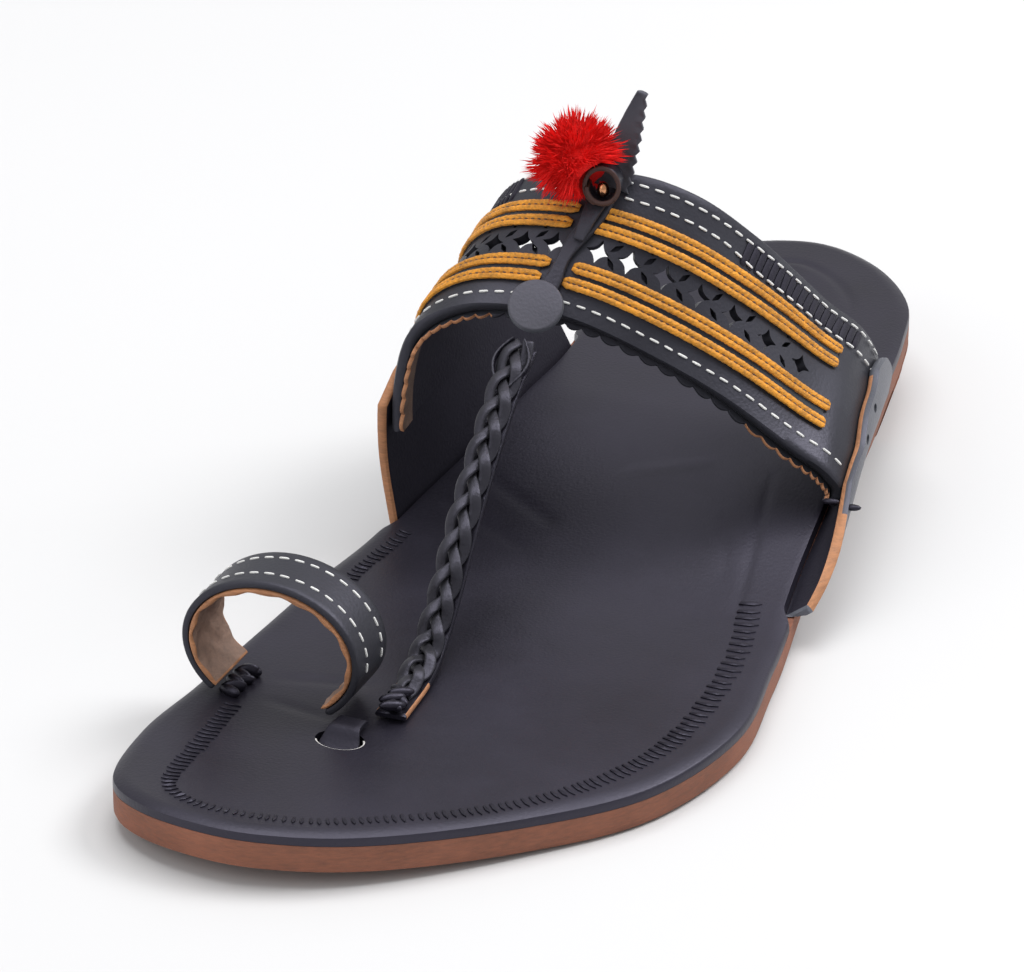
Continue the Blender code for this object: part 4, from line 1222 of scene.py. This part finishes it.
def build_toe_ring(sizes):
    """Toe ring: black leather over a suede lining with a raw tan rim, sewn in two rows."""
    start, end = [math.radians(angle) for angle in RING_FEET_ANGLES]

    def face(share, across, lift):
        turn = start + (end - start) * share
        return ring_spot(turn, across * 0.970, 0.0011 + 0.0016 * lift)

    def lining(share, across, lift):
        turn = start + (end - start) * share
        wrinkle = 0.00025 * math.sin(share * 70.0 + 3.0 * math.sin(across * 4.0)) * (1.0 - lift)
        wave = 0.008 * math.sin(share * 17.0) + 0.003 * math.sin(share * 61.0)
        return ring_spot(turn, across * (1.0 + wave * 0.5), wrinkle + 0.0010 * lift)

    mesh = bmesh.new()
    strap(mesh, run_stations(96, 0.08, 0.0006), flat_profile(12, 0.06, 0, 0, 0), face)
    add_piece("toe_ring_leather", mesh, ["band_black"], ["toe_ring"])
    mesh = bmesh.new()
    strap(mesh, run_stations(160, 0.08, 0.0006), flat_profile(12, 0.06, 1, 1, 0), lining, 1)
    add_piece("toe_ring_lining", mesh, ["suede", "cut_tan"])

    def row(along):
        def place(share):
            turn = start + (end - start) * share
            point = ring_spot(turn, along, 0.0027)
            normal = (point - ring_spot(turn, along, 0.0)).normalized()
            return point, normal
        return place

    mesh = bmesh.new()
    for along in (-0.42, 0.55):
        sew(mesh, row(along), 0.13, 0.90, sizes, 0.04, 0.00048)
    add_piece("toe_ring_stitches", mesh, ["white_thread"])


def build_ring_knots(sizes):
    """The thong that laces the ring's inner foot, and the tab in the slot."""
    mesh = bmesh.new()
    rng = random.Random(9)
    for index in range(7):
        along = -0.0805 + (index - 3) * 0.0016
        base = Vector((-0.0447 + rng.uniform(-0.0004, 0.0004), along, insole_top(along) + 0.0008))
        lean = Vector((1.0, 0.45 if index % 2 else -0.4, 0.12)).normalized()
        side = lean.cross(Vector((0, 0, 1))).normalized()
        axes = Matrix((lean * 0.0029, side * 0.0010, Vector((0, 0, 0.0013 + 0.0004 * (index % 3)))))
        bmesh.ops.create_uvsphere(mesh, u_segments=16, v_segments=10, radius=1.0,
                                  matrix=Matrix.Translation(base) @ axes.transposed().to_4x4())
    add_piece("ring_knots", mesh, ["lacing_black"], ["ring_lacing"])
    mesh = bmesh.new()
    floor = outsole_top(SLOT_PLACE[1]) + 0.0004
    axes = Matrix(((0.0053, 0.0, 0.0), (0.0, 0.0040, 0.0), (0.0, 0.0, 0.0004)))
    bmesh.ops.create_cone(mesh, cap_ends=True, segments=36, radius1=1.0, radius2=1.0, depth=1.0,
                          matrix=Matrix.Translation((SLOT_PLACE[0], SLOT_PLACE[1], floor)) @ axes.to_4x4())
    add_piece("slot_floor", mesh, ["slot_black"])
    mesh = bmesh.new()

    def rim(share, across, lift):
        turn = math.radians(-165 + 200 * share)
        out = 1.0 + 0.055 * across
        x = SLOT_PLACE[0] + 0.0051 * out * math.cos(turn)
        y = SLOT_PLACE[1] + 0.0038 * out * math.sin(turn)
        return Vector((x, y, insole_top(y) - 0.0009 + 0.0008 * lift))

    strap(mesh, run_stations(40, 0.014, 0.0006), flat_profile(3, 0.3, 0, 0, 0), rim)
    add_piece("slot_raw_rim", mesh, ["raw_white"])
    path = ((-0.0964, 0.0003), (-0.0948, 0.0004), (-0.0930, 0.0017), (-0.0908, 0.0037), (-0.0864, 0.0036))

    def place(share, across, lift):
        along, high = smooth_rows(path, share)
        wide = 0.0038 + 0.0007 * math.sin(share * 5.0)
        return Vector((SLOT_PLACE[0] + across * wide, along, outsole_top(along) + high + 0.0013 * lift))

    mesh = bmesh.new()
    strap(mesh, run_stations(24, 0.011, 0.0004), flat_profile(6, 0.15, 0, 0, 0), place)
    add_piece("slot_tab_leather", mesh, ["slot_black"], ["slot_tab"])


def braid_frames(count):
    places = smooth_path(BRAID_PATH, count)
    frames = []
    for index, place in enumerate(places):
        before, after = places[max(index - 1, 0)], places[min(index + 1, count)]
        on = Vector(after - before).normalized()
        across = on.cross(Vector((0, 0, 1))).normalized()
        frames.append((Vector(place), on, across, across.cross(on)))
    return frames


def build_braid(sizes):
    """Three flat strands plaited over a backing strap with raw edges."""
    count = 360
    frames = braid_frames(count)
    lengths = curve_lengths(np.array([spot[0][:] for spot in frames]))
    total = float(lengths[-1])

    def at(share):
        index = min(max(int(round(share * count)), 0), count)
        return frames[index], float(lengths[index])

    mesh = bmesh.new()
    for strand in range(3):
        def place(share, across, lift):
            (spot, on, side, up), travel = at(share * 0.935)
            phase = 2 * math.pi * (travel / sizes.braid_period + strand / 3)
            swing = math.sin(phase)
            over = math.sin(2 * phase)
            slope = math.cos(phase)
            draw = 1.0 - 0.45 * float(smooth_step((share - 0.93) / 0.07))
            middle = side * swing * 0.00215 * draw + up * (0.0019 + over * 0.00095) * draw
            width = side * math.cos(slope * 0.80) - on * math.sin(slope * 0.80)
            tilt = (width - up * 0.45 * swing).normalized()
            thick = tilt.cross(on).normalized()
            if thick.dot(up) < 0:
                thick = -thick
            ridge = 1.0 - 0.35 * across * across
            return (spot + middle + tilt * across * sizes.strand_width / 2
                    + thick * (lift - 0.5) * 0.0011 * ridge)
        strap(mesh, run_stations(320, total, 0.0004), flat_profile(4, 0.22, 0, 0, 0), place)
    add_piece("braid_strands", mesh, ["thong_black"], ["braid"])

    def backing(share, across, lift):
        (spot, on, side, up), travel = at(share)
        return spot + side * across * 0.0033 - up * 0.0014 * (1.0 - lift)

    def retone(share, tone):
        return tone if share > 0.86 else 0

    mesh = bmesh.new()
    strap(mesh, run_stations(90, total, 0.0004), flat_profile(4, 0.1, 0, 1, 0), backing, 0, retone)
    add_piece("braid_backing_strap", mesh, ["lacing_black", "cut_tan"], ["braid_backing"])
    mesh = bmesh.new()
    rng = random.Random(21)
    (spot, on, side, up), travel = at(0.97)
    for index in range(6):
        base = spot + on * (index - 2.6) * 0.0014 + side * 0.0006 * math.cos(index * 2.0) + up * (0.0014 + 0.0006 * (index % 2))
        lean = (side + on * (0.8 if index % 2 else -0.7) + up * rng.uniform(-0.2, 0.3)).normalized()
        across = lean.cross(up).normalized()
        axes = Matrix((lean * 0.0029, across * 0.0011, lean.cross(across) * 0.0011))
        bmesh.ops.create_icosphere(mesh, subdivisions=3, radius=1.0,
                                   matrix=Matrix.Translation(base) @ axes.transposed().to_4x4())
    add_piece("braid_knots", mesh, ["lacing_black"])
    build_neck_loops(frames)


def build_neck_loops(frames):
    """Two thin thongs that loop from under the disc round the head of the braid."""
    mesh = bmesh.new()
    for sign in (-1, 1):
        def place(share, across, lift):
            spot, on, side, up = frames[int(share * 52)]
            bulge = 0.0012 + 0.0026 * math.sin(math.pi * min(1.0, share * 1.05))
            return (spot + side * sign * bulge + up * (0.0030 - 0.0016 * share)
                    + on * across * 0.0002 + side * (lift - 0.5) * 0.0005 + up * across * 0.0009)
        strap(mesh, run_stations(40, 0.014, 0.0003), flat_profile(3, 0.2, 0, 1, 0), place)
    add_piece("neck_loops", mesh, ["lacing_black", "thong_black"])


# The stage

# The camera stands where the photo's did and is turned to the middle of the sandal; angles in degrees, focus in pixels
CAMERA_TURN = 23.34
CAMERA_RISE = 27.98
CAMERA_ROLL = 0.33
CAMERA_DISTANCE = 1.258
CAMERA_TARGET = (-0.0200, 0.0010, 0.0200)
CAMERA_FOCUS = 5930.0
PHOTO_WIDTH = 1024.0


def build_stage():
    """Pale floor, soft lights and the camera at the photo's angle."""
    turn, rise, roll = [math.radians(angle) for angle in (CAMERA_TURN, CAMERA_RISE, CAMERA_ROLL)]
    back = Vector((math.sin(turn) * math.cos(rise), -math.cos(turn) * math.cos(rise), math.sin(rise)))
    right = Vector((math.cos(turn), math.sin(turn), 0.0))
    up = back.cross(right)
    across = right * math.cos(roll) + up * math.sin(roll)
    upward = -right * math.sin(roll) + up * math.cos(roll)
    data = bpy.data.cameras.new("camera")
    data.sensor_fit = "HORIZONTAL"
    data.sensor_width = 36.0
    data.lens = CAMERA_FOCUS / PHOTO_WIDTH * 36.0
    data.clip_end = 20.0
    camera = bpy.data.objects.new("camera", data)
    matrix = Matrix((across, upward, back)).transposed().to_4x4()
    matrix.translation = Vector(CAMERA_TARGET) + back * CAMERA_DISTANCE
    camera.matrix_world = matrix
    bpy.context.scene.collection.objects.link(camera)
    bpy.context.scene.camera = camera
    mesh = bmesh.new()
    bmesh.ops.create_grid(mesh, x_segments=2, y_segments=2, size=6.0,
                          matrix=Matrix.Translation((0.0, 0.0, -0.0002)))
    data = bpy.data.meshes.new("floor")
    mesh.to_mesh(data)
    mesh.free()
    nodes = Nodes("floor_white")
    cloud = nodes.noise(3.0, 2.0)
    nodes.link(nodes.blend(cloud, (0.60, 0.60, 0.608), (0.63, 0.63, 0.638)), nodes.shader.inputs["Base Color"])
    nodes.shader.inputs["Roughness"].default_value = 0.85
    data.materials.append(nodes.material)
    floor = bpy.data.objects.new("floor", data)
    bpy.context.scene.collection.objects.link(floor)
    for name, place, size, power in (("key", (0.9, 0.7, 1.4), 0.8, 20.0), ("top", (-0.1, 0.1, 1.6), 1.2, 17.0),
                                     ("fill", (-0.8, -1.2, 0.9), 1.2, 6.0)):
        light = bpy.data.lights.new(name, "AREA")
        light.shape = "SQUARE"
        light.size = size
        light.energy = power
        lamp = bpy.data.objects.new(name, light)
        lamp.matrix_world = (Matrix.Translation(place)
                             @ Vector(place).to_track_quat("Z", "Y").to_matrix().to_4x4())
        bpy.context.scene.collection.objects.link(lamp)
    world = bpy.data.worlds.new("soft_white")
    world.use_nodes = True
    world.node_tree.nodes["Background"].inputs["Color"].default_value = (1.0, 1.0, 1.0, 1.0)
    world.node_tree.nodes["Background"].inputs["Strength"].default_value = 0.52
    bpy.context.scene.world = world
    bpy.context.scene.view_settings.view_transform = "Standard"


def sizes_of(context):
    return context.scene.sandal_sizes


class SANDAL_OT_finishes(bpy.types.Operator):
    """Make the leathers, threads and metal"""
    bl_idname = "sandal.finishes"
    bl_label = "Finishes"

    def execute(self, context):
        make_finishes(context.scene.sandal_colours)
        return {"FINISHED"}


class SANDAL_OT_sole(bpy.types.Operator):
    """Build the outsole, the heel and the insole with its tooled border"""
    bl_idname = "sandal.sole"
    bl_label = "Sole"

    def execute(self, context):
        build_outsole(sizes_of(context))
        build_insole(sizes_of(context))
        build_border(sizes_of(context))
        return {"FINISHED"}


class SANDAL_OT_ears(bpy.types.Operator):
    """Build the two ears that carry the band"""
    bl_idname = "sandal.ears"
    bl_label = "Ears"

    def execute(self, context):
        for side in ("lateral", "medial"):
            build_ear(side, sizes_of(context))
        return {"FINISHED"}


class SANDAL_OT_band(bpy.types.Operator):
    """Build the instep band with its cut-outs, lining and stitches"""
    bl_idname = "sandal.band"
    bl_label = "Band"

    def execute(self, context):
        build_band(sizes_of(context))
        build_stitches(sizes_of(context))
        return {"FINISHED"}


class SANDAL_OT_cords(bpy.types.Operator):
    """Build the gold cords and the laced thongs at the rear edge"""
    bl_idname = "sandal.cords"
    bl_label = "Cords"

    def execute(self, context):
        build_cords(sizes_of(context))
        build_lacing(sizes_of(context))
        return {"FINISHED"}


class SANDAL_OT_ornament(bpy.types.Operator):
    """Build the disc, thong, curl, bead, leaf and pompom"""
    bl_idname = "sandal.ornament"
    bl_label = "Ornament"

    def execute(self, context):
        build_ornament(sizes_of(context))
        build_pompom(sizes_of(context))
        return {"FINISHED"}


class SANDAL_OT_toe_ring(bpy.types.Operator):
    """Build the toe ring with its lining, stitches, knots and tab"""
    bl_idname = "sandal.toe_ring"
    bl_label = "Toe ring"

    def execute(self, context):
        build_toe_ring(sizes_of(context))
        build_ring_knots(sizes_of(context))
        return {"FINISHED"}


class SANDAL_OT_braid(bpy.types.Operator):
    """Build the braid and its backing strap"""
    bl_idname = "sandal.braid"
    bl_label = "Braid"

    def execute(self, context):
        build_braid(sizes_of(context))
        return {"FINISHED"}


class SANDAL_OT_stage(bpy.types.Operator):
    """Build the floor, the lights and the camera"""
    bl_idname = "sandal.stage"
    bl_label = "Stage"

    def execute(self, context):
        build_stage()
        return {"FINISHED"}


OPERATORS = (SANDAL_OT_finishes, SANDAL_OT_sole, SANDAL_OT_ears, SANDAL_OT_band, SANDAL_OT_cords,
             SANDAL_OT_ornament, SANDAL_OT_toe_ring, SANDAL_OT_braid, SANDAL_OT_stage)


class SANDAL_PT_panel(bpy.types.Panel):
    """Lists the sandal's pieces in the order they are built"""
    bl_idname = "SANDAL_PT_panel"
    bl_label = "Sandal"
    bl_space_type = "VIEW_3D"
    bl_region_type = "UI"
    bl_category = "Sandal"

    def draw(self, context):
        for group in (context.scene.sandal_sizes, context.scene.sandal_colours):
            box = self.layout.box()
            for name in group.__annotations__:
                box.prop(group, name)
        for operator in OPERATORS:
            self.layout.operator(operator.bl_idname)


CLASSES = (SandalSizes, SandalColours) + OPERATORS + (SANDAL_PT_panel,)


def register():
    for item in CLASSES:
        bpy.utils.register_class(item)
    bpy.types.Scene.sandal_sizes = bpy.props.PointerProperty(type=SandalSizes)
    bpy.types.Scene.sandal_colours = bpy.props.PointerProperty(type=SandalColours)


def unregister():
    del bpy.types.Scene.sandal_colours
    del bpy.types.Scene.sandal_sizes
    for item in reversed(CLASSES):
        bpy.utils.unregister_class(item)


def main():
    register()
    bpy.ops.sandal.finishes()
    bpy.ops.sandal.sole()
    bpy.ops.sandal.ears()
    bpy.ops.sandal.band()
    bpy.ops.sandal.cords()
    bpy.ops.sandal.ornament()
    bpy.ops.sandal.toe_ring()
    bpy.ops.sandal.braid()
    bpy.ops.sandal.stage()


if __name__ == "__main__":
    main()
